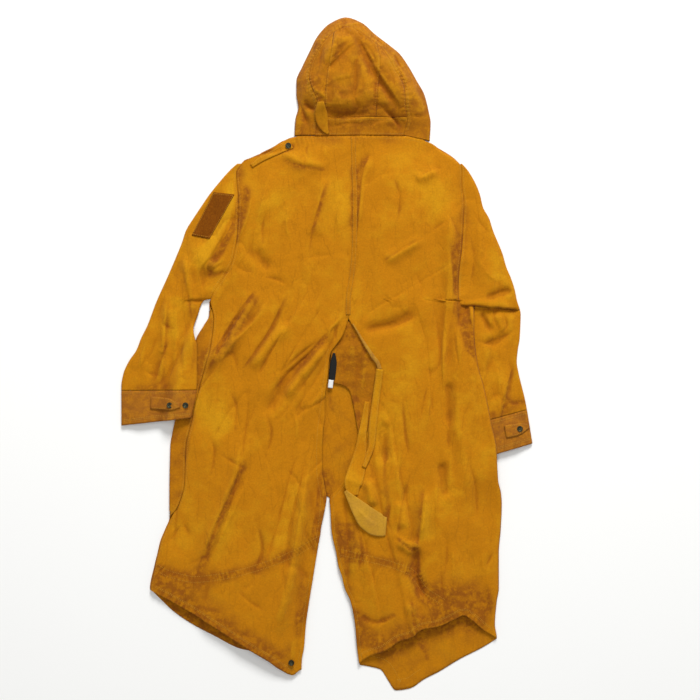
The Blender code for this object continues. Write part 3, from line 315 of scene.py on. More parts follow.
hoodFolds = (
    (60, 657, 93, 583, 154, 489, -16, 12), (80, 665, 121, 591, 171, 509, 6, 12),
    (54, 637, 21, 608, 1, 575, -10, 9), (39, 657, 15, 628, -10, 591, 8, 10),
    (62, 604, 58, 552, 52, 505, -8, 9), (-6, 495, 37, 487, 93, 495, -14, 8),
    (7, 522, 37, 514, 72, 526, 8, 10), (146, 604, 156, 575, 171, 555, 6, 8),
    (101, 563, 101, 526, 99, 493, -5, 8), (-55, 514, -36, 507, -18, 505, -9, 7),
    (-55, 501, -45, 485, -36, 464, -6, 7), (37, 579, 31, 555, 31, 526, 5, 11),
    (171, 604, 187, 555, 199, 497, 4, 9),
)

# Height of a flattened sleeve: rows of (y, height)
sleeveLeftHeights = ((391, 9), (112, 9), (-75, 9), (-155, 8))
sleeveRightHeights = ((391, 9), (112, 9), (87, 6.8), (-237, 6.8))

# Edges of the piece under the vent: rows of (y, x)
underlapLeft = (
    (60, 31), (30, 15), (5, 9), (-52, 7), (-59, 15), (-64, 37), (-77, 48), (-93, 52), (-124, 58),
    (-155, 64), (-175, 66),
)
underlapRight = (
    (60, 54), (30, 76), (-1, 97), (-28, 117), (-63, 119), (-93, 115), (-124, 105), (-155, 85), (-175, 70),
)

# Creases: rows of (route, rise, half width to the left of its way, half width to the right)
bodyCreases = (
    # between the shoulders
    (((3, 382), (-12, 316), (-32, 247), (-37, 190)), -4.5, 8.5, 2.4),
    (((102, 432), (72, 371), (65, 305), (60, 231)), -4.5, 2.5, 9.5),
    (((-104, 407), (-45, 384), (11, 376)), -4.5, 10.4, 2.5),
    (((-120, 395), (-129, 327), (-149, 247), (-151, 217), (-122, 163)), 4.5, 13.3, 4),
    (((-133, 161), (-106, 155), (-75, 139)), -3.4, 4.5, 3),
    # drag lines from the vent to the left side
    (((-137, 147), (-191, 67), (-254, -50)), -9.5, 12.3, 3.6),
    (((-96, 147), (-140, 78), (-206, 5), (-252, -97)), 7.5, 14.2, 6),
    (((-77, 136), (-118, 49), (-184, -44)), -6, 9.5, 3),
    (((15, 60), (-37, 1), (-81, -39), (-125, -97)), -5.5, 9.5, 2.5),
    (((-6, 38), (-63, -6), (-102, -44)), -4.5, 8.5, 2.5),
    (((-53, 198), (-14, 202), (21, 204)), -1.9, 4.5, 3),
    # right shoulder blade
    (((105, 183), (156, 217), (212, 247)), -4.5, 7.6, 3),
    (((214, 253), (236, 268), (255, 276)), -2.6, 4.5, 3),
    (((60, 48), (138, 60), (197, 85)), -3.5, 8.5, 3),
    (((179, 358), (212, 378), (249, 388)), -2.6, 6.6, 2.5),
    (((244, 298), (259, 272), (273, 239)), -2.6, 5.2, 3),
    (((253, 259), (263, 115), (242, 13)), -4.5, 9.8, 5.5),
    # long fold down the right side
    (((251, 192), (244, 85), (238, -1), (244, -145)), 6, 13.3, 2.4),
    (((269, 235), (277, 153), (294, 71), (306, -15)), -5, 2.4, 8.5),
    (((285, 50), (298, 5), (312, -36)), -3, 3, 2.4), (((224, -36), (212, -93), (203, -175)), 4, 2.4, 8.5),
    (((251, 91), (244, 19), (234, -56)), 4.5, 6, 9.8),
    # long fold of the left tail
    (((-163, -183), (-174, -233), (-201, -294), (-229, -360), (-256, -431), (-276, -470)), -7.5, 12.3, 3),
    (((-147, -200), (-157, -241), (-184, -304), (-215, -372), (-239, -434)), 5, 15.2, 5.5),
    (((-299, -341), (-289, -360), (-278, -378)), -2.6, 4.5, 2.5),
    (((-297, -345), (-313, -368), (-330, -393)), -2.6, 4.5, 2.5),
    (((-24, -163), (-47, -288), (-80, -470), (-108, -581)), 5.5, 12.3, 4.5),
    (((-86, -231), (-63, -257), (-43, -286)), -2.6, 4.5, 3),
    (((-225, -200), (-194, -220), (-159, -239)), -2.6, 5.2, 3),
    # right tail
    (((117, -140), (119, -206), (117, -274)), -4.5, 6.8, 4),
    (((179, -222), (150, -327), (143, -388)), -4.5, 9.5, 3.5),
    (((207, -259), (194, -360), (188, -417)), 8.5, 22.8, 2.4),
    (((138, -372), (178, -401), (199, -391)), -6, 6.6, 2.4),
    (((132, -362), (169, -386), (197, -382)), 3.8, 2.4, 5.7),
    (((134, -298), (126, -339), (142, -376)), -3.8, 2.4, 7.6),
    (((158, -175), (148, -237), (152, -298)), 4.5, 2.4, 8.5),
    (((76, -200), (93, -237), (97, -278)), -3, 2.4, 7.6),
    (((234, -237), (224, -298), (234, -370)), 4, 2.4, 9.5),
    (((193, -384), (183, -437), (188, -475), (232, -526)), -6.5, 6, 3.5),
    (((255, -167), (253, -237), (247, -323)), 4.5, 9.8, 6),
    (((324, -58), (337, -134), (350, -245)), 4, 7.6, 2.5),
    (((345, -401), (335, -421), (323, -444)), -2.6, 4.5, 3),
    (((54, -532), (101, -552), (152, -530)), -4.5, 7.6, 2.5),
    (((169, -481), (183, -568), (220, -659)), -5.5, 9.5, 3),
    (((154, -75), (161, -162), (175, -239)), -4.5, 6.8, 4),
    # over the slider
    (((-8, -229), (-8, -276), (-9, -323)), 3.6, 6.8, 4.5),
    # cloth folded at the head of the vent
    (((39, 89), (23, 67), (5, 44), (7, 17)), 4.5, 2.4, 8.5),
    (((29, 67), (17, 48), (21, 26)), -3.8, 3, 2.4),
    # under the shoulder tab
    (((-61, 436), (-75, 423), (-102, 416), (-151, 411), (-176, 393)), -5, 2.4, 8.5),
    # beside the left armhole
    (((-168, 347), (-178, 296), (-200, 235), (-227, 190)), -5, 8.5, 3),
    (((-153, 366), (-157, 306), (-182, 235), (-207, 198)), 4, 4, 11.4),
    (((-34, 436), (-43, 419), (-36, 399)), -2.6, 3.8, 2.4),
    (((-10, 440), (-2, 415), (-10, 386)), 2.2, 2.5, 4.5),
    (((-116, 306), (-133, 259), (-133, 214)), -3.5, 9.5, 2.4),
    (((60, 34), (72, 5), (93, -36), (109, -77)), 3, 2.4, 11.4),
    (((208, -52), (199, -97), (187, -149)), -3.5, 5.2, 3.5),
    (((249, -97), (251, -149), (247, -200)), -3.5, 7.5, 4.5),
    (((255, -382), (259, -425), (261, -479)), 3.5, 8.2, 5),
    # and a few more over the plain stretches
    (((-200, -69), (-186, -114), (-190, -171)), -4, 8.5, 3),
    (((-133, -104), (-114, -159), (-133, -233)), -4, 7.6, 3),
    (((-77, -95), (-61, -155), (-73, -200)), 3.5, 7.5, 4),
    (((-250, -155), (-231, -200), (-241, -261)), -3.5, 7.6, 3),
    (((-145, -339), (-133, -397), (-155, -462)), -4, 7.6, 3),
    (((-186, -479), (-157, -509), (-120, -528)), -2.6, 6.6, 2.5),
    (((-332, -237), (-317, -282), (-325, -327)), -3.5, 4.5, 3),
    (((58, -339), (72, -397), (62, -458)), -4, 5.2, 3),
    (((226, -339), (247, -397), (240, -462)), -3, 6, 3.5),
    (((285, -200), (306, -278), (310, -356)), -4, 6.8, 3.5),
    (((-69, 325), (-84, 272), (-71, 218)), 3.5, 6.8, 4), (((27, 347), (21, 286), (31, 229)), 3, 6, 4),
    (((134, 374), (150, 317), (142, 259)), -3.5, 6.8, 3.5),
    (((187, 325), (175, 284), (191, 243)), 2.2, 6.8, 4),
    (((175, 177), (195, 136), (187, 99)), -2.6, 6, 3.5),
    (((113, 136), (134, 106), (126, 75)), 2.2, 6, 3.5),
    (((-30, 161), (-18, 128), (-30, 95)), -2.6, 5.2, 3),
    (((-196, 190), (-172, 173), (-147, 169)), -3, 5.2, 3),
)
seamCreases = (
    # armholes: the seam lies in a narrow trough
    (((-163, 409), (-186, 378), (-190, 358), (-186, 325), (-194, 290), (-215, 243), (-239, 203),
      (-248, 186), (-241, 169), (-241, 161)), -2.6, 4, 5),
    (((-215, 188), (-227, 177), (-243, 171)), -4, 4, 4),
    (((-192, 177), (-215, 165), (-237, 163)), -4, 4, 4),
    (((-202, 190), (-221, 169), (-235, 151)), 3.5, 4, 4),
    (((277, 415), (281, 347), (283, 317), (279, 224), (273, 173), (271, 112)), -2.6, 4, 5),
)
sleeveLeftCreases = (
    (((-301, 222), (-293, 163), (-280, 91), (-276, 50)), -5, 3, 9.5),
    # folded edge at the armhole
    (((-191, 370), (-188, 327), (-195, 290), (-239, 203), (-264, 165), (-256, 120)), 7.5, 2.6, 11.4),
    (((-207, 222), (-223, 202), (-241, 190)), -4.5, 3.8, 2.4),
    (((-200, 202), (-217, 190), (-237, 177)), 3.8, 2.4, 5.7),
    (((-194, 190), (-215, 171), (-237, 157)), -4.5, 2.4, 5.7),
    (((-280, 190), (-289, 132), (-309, 67)), 4, 2.5, 8.5),
    (((-260, 91), (-276, 30), (-272, -36)), 4, 2.4, 8.5),
    (((-325, 30), (-342, -15), (-358, -65)), -5, 2.4, 8.5),
    (((-362, 50), (-379, 5), (-391, -48)), 4, 7.6, 2.4),
    (((-325, 140), (-330, 50), (-334, -11), (-342, -85)), -5, 8.5, 3),
    (((-309, 149), (-309, 75), (-311, 5), (-317, -65)), 4, 3.5, 6),
    (((-268, 190), (-256, 149), (-254, 112)), -3, 4.5, 3),
    (((-289, 34), (-299, -3), (-289, -48)), -3, 3, 5.2),
    (((-260, 210), (-276, 190), (-289, 157)), 2.6, 5.2, 3.5),
    (((-346, 75), (-330, 58), (-305, 52)), -2.6, 3.8, 2.5),
    (((-358, 19), (-338, 5), (-313, 5)), 2.2, 3.8, 2.5),
    (((-385, -28), (-362, -40), (-336, -44)), -2.2, 3.8, 2.4),
    (((-248, 337), (-235, 306), (-241, 272)), -2.2, 6, 3.5),
)
sleeveRightCreases = (
    # the elbow, where the sleeve turns back on itself
    (((273, 106), (310, 95), (355, 97), (404, 91)), 4, 8.5, 2.5),
    (((316, 93), (326, 67), (341, 38)), -4.1, 4.5, 2.5),
    # seam under the sleeve
    (((390, -7), (370, -69), (347, -188)), 4, 2.4, 8.5),
    (((279, 120), (298, 108), (335, 108), (392, 104)), 4, 2.4, 5.7),
    (((329, 91), (333, 71), (349, 50)), 3, 3, 2.4), (((359, 91), (372, 60), (355, 38)), -3.8, 2.4, 4.8),
    (((341, 95), (347, 67), (361, 40)), -3.4, 4.5, 2.5),
    (((294, 32), (335, 22), (361, 34), (392, 54)), -4, 4.5, 3),
    (((324, 112), (355, 126), (392, 136)), -3, 4.5, 3),
    (((294, 251), (302, 198), (294, 132)), -3.5, 5.2, 3),
    (((314, 190), (335, 161), (359, 149)), 2.6, 6, 3.5),
    (((294, 306), (314, 272), (343, 243)), -2.6, 5.2, 3),
    (((367, 5), (380, -36), (376, -85)), -3, 4.5, 3),
    (((343, -15), (355, -60), (351, -118)), 3.5, 5.2, 3),
    (((396, 19), (400, -28), (411, -77)), -3, 4.5, 3),
    (((361, -89), (386, -101), (417, -95)), -2.2, 3.8, 2.5),
)
hoodCreases = (
    # the long diagonal fold, steep on its lower side
    (((52, 682), (69, 645), (89, 607), (111, 565), (135, 531), (171, 477)), 7.5, 15.2, 1.7),
    (((46, 673), (62, 641), (80, 600), (103, 559), (128, 526), (158, 477)), -4.2, 1.6, 2.4),
    (((58, 678), (64, 659), (76, 641)), -3.8, 2.8, 1.6),
    (((48, 678), (68, 682), (76, 673), (64, 657)), 2.5, 1.6, 2.8),
    (((-14, 637), (-2, 620), (15, 624), (29, 637)), 3.2, 1.6, 2.8),
    (((15, 665), (23, 645), (11, 628)), 3.2, 1.6, 3.6),
    (((146, 591), (158, 555), (171, 514)), -3.2, 1.6, 4.3),
    (((136, 624), (146, 600), (160, 571)), -3.2, 1.6, 3.6),
    (((113, 505), (138, 485), (158, 452)), -4.5, 1.6, 3.6),
    (((-59, 526), (-47, 497), (-36, 464)), -3.8, 1.6, 3.6),
    (((-2, 497), (31, 491), (60, 497), (76, 518)), -3.2, 3.6, 1.6),
    # knot of folds at the top
    (((39, 698), (33, 669), (17, 653)), -3.2, 2.8, 1.6),
    (((33, 673), (49, 653), (68, 653)), -3.2, 1.6, 2.8),
    (((44, 669), (60, 679), (80, 680)), 2.9, 2.8, 1.6),
    # lip over the dark pocket
    (((68, 647), (46, 629), (29, 613), (15, 600), (0, 584), (-20, 573)), 8, 2.4, 19),
    (((37, 624), (23, 612), (9, 596)), -4.5, 3.6, 1.6),
    (((1, 659), (-7, 629), (-14, 602), (-16, 575)), -3.2, 3.4, 2.2),
    (((-40, 577), (-25, 538), (-7, 527), (3, 503)), 3.2, 6.4, 2.2),
    (((65, 624), (58, 584), (58, 549), (55, 505)), -3.8, 4.3, 1.6),
    # gathered seam and its puckers
    (((103, 571), (100, 527), (100, 485)), -2.5, 2, 1.6),
    (((89, 555), (101, 550), (115, 555)), -1.4, 1.6, 1.6),
    (((89, 540), (101, 538), (113, 540)), -1.4, 1.6, 1.6),
    (((87, 526), (99, 524), (113, 524)), -1.5, 1.6, 1.6),
    (((89, 509), (101, 509), (113, 507)), -1.4, 1.6, 1.6),
    # where the hood sags over the neck
    (((-8, 501), (27, 494), (49, 491), (74, 514)), -4.5, 6.4, 1.8),
    (((-10, 514), (21, 509), (52, 507)), 2.9, 2.6, 4.5),
    (((131, 624), (149, 593), (167, 569)), -2.5, 2.8, 1.9),
    (((99, 518), (127, 493), (165, 454)), -6, 6.6, 3),
    (((165, 484), (182, 489), (203, 487)), -2.5, 2.2, 1.6),
    # pocket at the left
    (((-49, 524), (-36, 509), (-20, 495)), -6, 6, 4.2),
    (((-61, 518), (-47, 491), (-34, 460)), -2.5, 1.6, 2.8),
    (((-30, 657), (-49, 628), (-53, 600)), -2.2, 3.4, 1.9),
    (((85, 657), (113, 637), (128, 612)), -2.5, 3.4, 1.9),
    (((117, 600), (134, 563), (142, 530)), -2.2, 2.8, 1.9),
    (((23, 571), (15, 542), (23, 514)), 2.5, 3.9, 2.2),
    (((76, 579), (80, 546), (74, 518)), 2.5, 3.4, 2.2),
    # neck band
    (((-36, 477), (7, 468), (52, 473), (105, 468)), -3, 2.8, 1.6),
    (((19, 481), (23, 464), (19, 450)), -1.6, 2, 1.6), (((72, 485), (68, 466), (76, 452)), -1.6, 2, 1.6),
    (((126, 477), (138, 462), (158, 452)), -3.2, 2.8, 1.6),
)
bodyWearAndShade = (
    # rows along the hems
    (hemBackLeft, 1.1, 46, 46),
    (hemBackRight, 1, 42, 42),
    # bands of the drawcord casing
    (((-371, -427), (-321, -452), (-270, -462), (-198, -452), (-96, -421), (-10, -378)), 0.8, 17, 17),
    (((27, -407), (109, -425), (171, -446), (201, -483), (240, -509)), 0.8, 17, 17),
    (((-358, -425), (-342, -462), (-291, -499)), 0.9, 26, 26),
    (((35, -339), (48, -391), (52, -434)), 1, 22, 18),
    (((-6, -216), (-18, -298), (-28, -391)), 0.9, 16, 6),
    (((-49, -421), (-55, -503), (-61, -606)), 0.8, 26, 10),
    (((39, -524), (64, -555), (72, -616)), 0.8, 22, 16),
    # long folds: painted shade on their shaded sides
    (((-166, -212), (-200, -294), (-241, -391), (-270, -462)), 0.8, 4, 9),
    (((189, -391), (183, -438), (189, -483), (232, -528)), 1, 7, 9),
    (((142, -374), (175, -399), (195, -393)), 0.9, 6, 6),
    (((201, -265), (189, -360), (183, -413)), 0.7, 2.5, 11),
    (((115, -237), (126, -298), (117, -360)), 0.5, 8, 14),
    (((33, -380), (39, -393), (44, -405)), 1, 10, 10),
    # inner edges of the tails
    (((9, -220), (-10, -339), (-36, -442)), 0.9, 16, 9),
    (((17, -298), (27, -391), (48, -503), (52, -585)), 0.7, 14, 9),
    (((199, -503), (253, -495), (314, -507), (355, -516)), 1, 36, 36),
    # centre back
    (((54, 452), (56, 214), (44, 112), (37, 30)), 0.6, 8, 8),
    # neck
    (((-75, 436), (54, 442), (199, 434)), 0.5, 14, 14),
    # armholes: seam wear, and painted shade beside the sleeves' folded edges
    (((-157, 419), (-182, 378), (-182, 327), (-209, 224), (-235, 190)), 0.7, 12, 10),
    (((275, 399), (277, 347), (279, 317), (275, 224), (269, 163)), 0.5, 8, 10),
    # sides: painted shade where the body's sides turn down beside the sleeves
    (((400, -7), (372, -104), (349, -196)), 0.8, 14, 16),
    (((265, 265), (271, 173), (279, 71), (294, -15)), 0.9, 14, 12),
    (((279, 112), (290, 50), (304, -11)), 1.2, 9, 9),
    (((-231, 161), (-248, 112), (-264, -32), (-284, -175), (-309, -309), (-362, -421)), 0.5, 10, 14),
    # vent
    (((101, -24), (85, -3), (48, 67)), 0.5, 8, 6),
    # painted shadow under the shoulder tab
    (((-61, 438), (-75, 425), (-102, 418), (-153, 413), (-176, 395)), 1.3, 7, 9),
    # painted shade beside the left sleeve's folded edge, along the folds between the shoulders and the drag
    # lines from the vent, and along the vent's left edge
    (((-163, 358), (-176, 296), (-198, 235), (-227, 190)), 1.2, 14, 8),
    (((-202, 181), (-227, 169), (-243, 142)), 0.8, 10, 10),
    (((-163, 112), (-207, 46), (-248, -22)), 0.7, 9, 5),
    (((-133, 132), (-182, 50), (-227, -15)), 0.6, 9, 4),
    (((9, 50), (-45, -15), (-88, -69)), 0.6, 9, 5),
    (((93, 427), (64, 358), (60, 235)), 0.6, 5, 12),
    (((13, 376), (-10, 317), (-32, 235)), 0.4, 8, 4),
    (((-104, 403), (-45, 382), (13, 376)), 0.5, 6, 9),
    (((7, 19), (5, -69), (13, -142)), 0.6, 9, 7),
    (((-125, 112), (-178, 38), (-231, -36)), 0.3, 14, 8),
)
bodyFade = (
    (((-284, -89), (-239, -124), (-186, -159)), 0.8, 36, 36),
    (((-133, 325), (-96, 304), (-71, 272)), 0.3, 34, 34),
    (((191, -298), (203, -339), (208, -391)), 0.7, 24, 24),
    (((93, -93), (109, -175), (105, -237)), 0.5, 30, 30), (((7, 378), (27, 296), (15, 214)), 0.5, 34, 34),
    (((-55, -237), (-75, -339), (-92, -421)), 0.6, 26, 26),
    (((-194, -298), (-215, -380), (-235, -442)), 0.6, 22, 22),
    (((212, 378), (224, 317), (212, 255)), 0.5, 30, 30),
)
sleeveWearAndShade = (
    # painted shade beside the left sleeve's raised folded edge at the armhole
    (((-178, 354), (-184, 292), (-217, 218), (-241, 177), (-243, 136)), 1.3, 9, 5),
    (((-305, -60), (-342, -69), (-407, -69)), 0.7, 14, 14),
    (((-280, 132), (-268, 50), (-280, -69)), 0.5, 8, 8),
    (((283, 358), (288, 276), (279, 132)), 0.5, 9, 9), (((273, 99), (335, 93), (404, 89)), 0.9, 8, 4),
    (((390, -7), (370, -69), (347, -188)), 0.7, 10, 3),
    (((339, -110), (347, -145), (355, -175)), 0.8, 14, 14),
    (((355, -114), (386, -101), (421, -93)), 0.7, 14, 16),
)
sleeveFadeAndHighlight = (
    (((-297, 128), (-311, 81), (-325, 26)), 0.8, 26, 26),
    # edge at the armhole: a painted highlight along the sleeve's raised folded edge
    (((-196, 374), (-196, 327), (-204, 288), (-248, 210), (-270, 165)), 1.2, 6, 12),
    (((339, 235), (347, 183), (355, 142)), 0.6, 20, 20),
)
hoodWearAndShade = (
    # casing seam
    (((-49, 485), (-47, 563), (-30, 604), (11, 661), (58, 678), (109, 641), (142, 591), (156, 552),
      (160, 464)), 0.6, 6, 5),
    # outer edge
    (((-67, 448), (-63, 552), (-26, 634), (37, 700), (119, 655), (191, 563), (214, 460)), 0.8, 9, 9),
    # neck
    (((-55, 456), (54, 450), (201, 454)), 0.7, 9, 12), (((101, 563), (99, 485)), 0.6, 6, 6),
    # the left seam; then painted shade in the pocket under the lip and in the pocket at the left
    (((7, 571), (1, 522), (-6, 460)), 0.5, 5, 5), (((13, 604), (23, 614), (33, 622)), 0.8, 8, 8),
    (((-49, 522), (-36, 509), (-24, 499)), 0.8, 8, 8),
)
hoodFade = (
    (((105, 632), (146, 571), (183, 514)), 0.7, 22, 22), (((7, 563), (37, 552), (52, 532)), 0.5, 18, 18),
    (((-51, 563), (-38, 583), (-14, 632)), 0.5, 14, 14),
)
casingSeam = tuple((row[2], row[3]) for row in hoodRim)

# Wrinkles: rows of (seed, size, angle, stretch, rise, middle x, middle y, reach)
bodyWrinkles = (
    (11, 40, 57, 6.0, 3.4, -130, 20, 170), (12, 50, 76, 6.0, 2.9, -150, -330, 270),
    (13, 46, 99, 6.0, 2.9, 160, -330, 270), (14, 60, 30, 4.0, 1.7, 150, 230, 200),
    (15, 48, 72, 5.0, 2.2, -90, 280, 170), (16, 36, 95, 5.0, 2.4, 250, 40, 140),
    (17, 42, 45, 4.0, 2.2, -30, -120, 130),
)
sleeveWrinkles = (
    (21, 32, 66, 4.4, 2.6, -330, 60, 150), (22, 30, 102, 4.0, 2.0, -230, 260, 120),
    (23, 32, 104, 4.0, 2.2, 340, 220, 120), (24, 30, 82, 4.0, 2.6, 360, -20, 130),
)
hoodWrinkles = (
    (31, 28, 72, 3.4, 2.6, 20, 590, 70), (32, 26, 124, 3.6, 2.8, 130, 560, 80),
    (33, 24, 12, 3.0, 2.0, 60, 500, 80),
)
bodyGathers = (
    # the casing's drawcord
    (((-371, -427), (-321, -452), (-270, -462), (-198, -452), (-96, -421), (-10, -378)), 1.7, 15, 7.5),
    (((27, -407), (109, -425), (171, -446), (201, -483), (240, -509)), 1.6, 15, 7.5),
    # neck
    (((-67, 438), (7, 444), (109, 444), (199, 434)), 0.7, 11, 9),
    # hems
    (hemBackLeft, 1, 16, 10),
    (hemBackRight, 1, 16, 10),
    # centre back
    (((56, 440), (56, 214), (44, 112), (39, 40)), 0.5, 8, 9),
)
sleeveGathers = (
    (((-272, -77), (-342, -75), (-426, -75)), 0.8, 10, 8),
    (((281, -157), (345, -134), (417, -116)), 0.8, 10, 8),
    (((-280, -130), (-342, -132), (-416, -136)), 0.4, 7, 9),
)
hoodGathers = (
    # casing
    (casingSeam, 1, 9, 8),
    # right seam
    (((103, 575), (100, 528), (100, 481)), 0.8, 8, 6.5),
    # neck
    (((-55, 458), (54, 458), (167, 460)), 0.8, 10, 9),
    # left seam
    (((5, 600), (-2, 542), (-6, 470)), 0.6, 7, 7),
)
ventCreases = (
    (((20, -69), (23, -114), (29, -169)), 3.4, 2.4, 2.4),
    (((12, -77), (16, -124), (21, -167)), -3, 2.5, 2.5), (((46, 50), (50, 5), (42, -48)), 1.8, 5, 2),
    (((60, 30), (62, -24), (58, -85)), -1.8, 2, 5), (((72, 13), (74, -36), (68, -101)), 1.8, 5, 2),
    (((89, -15), (85, -52), (74, -97)), -1.6, 2, 5), (((54, 34), (56, -15), (52, -65)), 1.6, 3.5, 3.5),
    (((66, 34), (68, -15), (64, -77)), -1.4, 3.5, 3), (((80, 17), (78, -36), (70, -93)), 1.3, 4, 3),
    (((35, 9), (33, -24), (39, -65)), -1.2, 4, 3),
)
# painted shade inside the vent: along its fold lines, under the cloth at its head, along its edge and beside
# the strap
ventShade = (
    (((11, -77), (15, -124), (23, -169)), 1.5, 5, 5), (((60, -77), (64, -118), (72, -167)), 1.4, 6, 9),
    (((46, 67), (52, 46), (39, 30)), 1.6, 14, 14), (((101, -24), (85, -3), (52, 58)), 1.2, 3, 9),
    (((9, -56), (27, -56), (46, -73), (54, -97), (60, -130), (66, -175)), 0.7, 7, 7),
)
strapCreases = (
    (((46, -304), (64, -317), (80, -333), (99, -347), (121, -352)), 1.9, 2.2, 7),
    (((76, -122), (68, -175), (54, -220)), 0.8, 4, 5), (((39, -233), (58, -265), (52, -298)), -0.9, 4, 4),
)
frontCreases = (
    (((-280, 317), (-178, 194), (-75, 112)), 1.6, 9, 6),
    (((-239, 50), (-137, -52), (-75, -175)), 1.8, 10, 7),
    (((-301, -175), (-219, -298), (-198, -421)), 1.6, 8, 6),
    (((109, 358), (150, 235), (130, 112)), 1.6, 9, 6),
    (((68, -11), (150, -134), (171, -298)), 1.8, 10, 7),
    (((232, -93), (253, -237), (212, -380)), 1.5, 8, 7),
    (((48, -421), (130, -503), (212, -524)), 1.6, 8, 6),
)


def brownWearAndShade(rows, share):
    # painted shade: a trough gets a row of the brown wear colour along it, as the shade that falls in it,
    # partly dye gathered there
    return tuple((line, -share * rise, left, right) for line, rise, left, right in rows if rise < 0.0)


bodyWearAndShade += brownWearAndShade(bodyCreases, 0.11)
sleeveWearAndShade += brownWearAndShade(sleeveLeftCreases + sleeveRightCreases, 0.1)
hoodWearAndShade += brownWearAndShade(hoodCreases, 0.14)


# The forms that the panels are laid on

bodyShape = {
    "edgeHeight": 9.0, "edgeWidth": 9.0, "edgeLow": 3.4,    # rounded side edge
    "crown": 11.0, "crownReach": 150.0,                     # further rise towards the middle
    "lowest": 4.6,                                          # no crease goes lower than this
    "foldsFrom": (6.0, 30.0), "detailFrom": (1.0, 12.0),    # start and run, from the edge inwards
    "sideFold": 4.5, "wrapTop": 115.8, "wrapBottom": -351.6, "wrapRun": 30.0,
    "onSleeve": 11.6, "climb": 30.0, "sleeveSlack": 3.0,    # the right side lies on its sleeve
    "tuckBottom": -228.6, "tuckRun": 100.0, "underarm": 111.7, "underarmRun": 40.0,
    "ventTop": 70.7, "ventDrop": 11.0, "ventDropRun": 260.0, "ventDropReach": 80.0,
    "crumple": ((70.0, 2.8, 1.5), (31.0, 1.1, 1.3), (14.0, 0.35, 1.1)),     # size, rise, stretch along
    "wall": 1.2, "seamGap": 0.3,
}
sleeveShape = {
    "crown": 4.0, "crownReach": 40.0, "lowest": 4.2, "edgeWidth": 7.0, "edgeShare": 0.3, "lip": 0.35,
    "detailFrom": (2.0, 12.0), "openReach": 60.0,
    "onBody": 14.2, "liftTop": 78.9, "liftRun": 30.0, "bodySlack": 4.0,     # the left sleeve lies on the body
    "closedFrom": 4.0, "closedRun": 24.0, "besideBody": 45.0,       # closed below the underarm
    "crumple": ((44.0, 2.2, 1.6), (22.0, 1.0, 1.3), (11.0, 0.3, 1.1)),
}
hoodShape = {
    "height": 46.0, "edgeHeight": 5.0, "lowest": 5.0, "reach": 80.0,
    "neckSeam": 449.6, "neckRun": 90.0, "overBody": 0.8,
    "foldsFrom": (4.0, 20.0), "detailFrom": (1.0, 10.0),
    "crumple": ((34.0, 2.2, 1.2), (17.0, 1.1, 1.2), (9.0, 0.35, 1.0)),
    "cell": 2.6,
}


def rising(inside, start, run):
    return smooth((inside - start) / run)


def foldsRise(folds, x, y):
    # each fold is a soft ridge or trough along two straight runs, fading at both ends
    total = np.zeros(np.broadcast(x, y).shape)
    for x0, y0, x1, y1, x2, y2, rise, half in folds:
        line = np.array(((x0, y0), (x1, y1), (x2, y2)), dtype=float)
        gap, _, along = besideLine(x, y, line)
        ends = smooth(4.0 * np.minimum(along, 1.0 - along))
        total = total + rise * ends * np.exp(-(gap / half) ** 2)
    return total


def crumple(x, y, seed, sizes):
    # rougher in some places than in others, as washed canvas dries
    total = np.zeros(x.shape)
    for size, rise, stretch in sizes:
        total += rise * crumpled(x, y / stretch, size, seed + size)
    return total * (0.8 + 0.4 * softNoise(x, y, 150.0, seed))


def wrinkled(x, y, rows):
    # rows of (seed, size, angle, stretch, rise, middle x, middle y, reach): thin creases that run mostly
    # one way, each with a flat at either side that is a little higher or lower
    total = np.zeros(x.shape)
    for seed, size, angle, stretch, rise, middleX, middleY, reach in rows:
        share = np.exp(-(np.hypot(x - middleX, y - middleY) / reach) ** 2)
        turn = np.radians(angle)
        u = (x * np.cos(turn) + y * np.sin(turn)) / stretch
        v = y * np.cos(turn) - x * np.sin(turn)
        field = softNoise(u, v, size, seed) + 0.22 * softNoise(u, v, 0.47 * size, seed + 1)
        depth = smooth(0.55 + softNoise(x, y, 1.7 * size, seed + 2))
        line = np.exp(-np.abs(field) / 0.07) * depth
        flat = np.tanh(field / 0.16) * smooth(0.6 + softNoise(x, y, 2.3 * size, seed + 3))
        total += rise * share * (0.9 * flat - 1.5 * line)
    return total


def gathered(x, y, rows):
    # rows of (route, rise, reach, pitch): small puckers that a drawcord or a seam pulls up
    total = np.zeros(x.shape)
    for route, rise, half, pitch in rows:
        line = routeOf(route)
        length = np.linalg.norm(np.diff(line, axis=0), axis=1).sum()
        close = near(x, y, line, 2.5 * half)
        if not close.any():
            continue
        gap, _, along = besideLine(x[close], y[close], line)
        wobble = 3.0 * softNoise(x[close], y[close], 2.6 * pitch, 31)
        size = 0.65 + 0.5 * softNoise(x[close], y[close], 4.0 * pitch, 37)
        wave = np.sin(2.0 * np.pi * along * length / pitch + wobble)
        total[close] += rise * size * wave * np.exp(-(gap / half) ** 2)
    return total


def detailed(x, y, creases, gathers, wrinkles, seed, sizes):
    detail = creased(x, y, creases) + gathered(x, y, gathers)
    return detail + crumple(x, y, seed, sizes) + wrinkled(x, y, wrinkles)


def wrapShare(y):
    # 1 where the left front is folded over the coat's side
    run = bodyShape["wrapRun"]
    return smooth((bodyShape["wrapTop"] - y) / run) * smooth((y - bodyShape["wrapBottom"]) / run)


def bodyUnder(x, y):
    # the coat's right side lies on its own sleeve
    shape = bodyShape
    edge = follow(sleeveRightInner, y) - shape["sleeveSlack"]
    across = smooth((x - edge + shape["climb"]) / shape["climb"])
    along = smooth((y - shape["tuckBottom"] + shape["tuckRun"]) / shape["tuckRun"])
    along = along * smooth((shape["underarm"] - y) / shape["underarmRun"])
    return shape["onSleeve"] * across * along


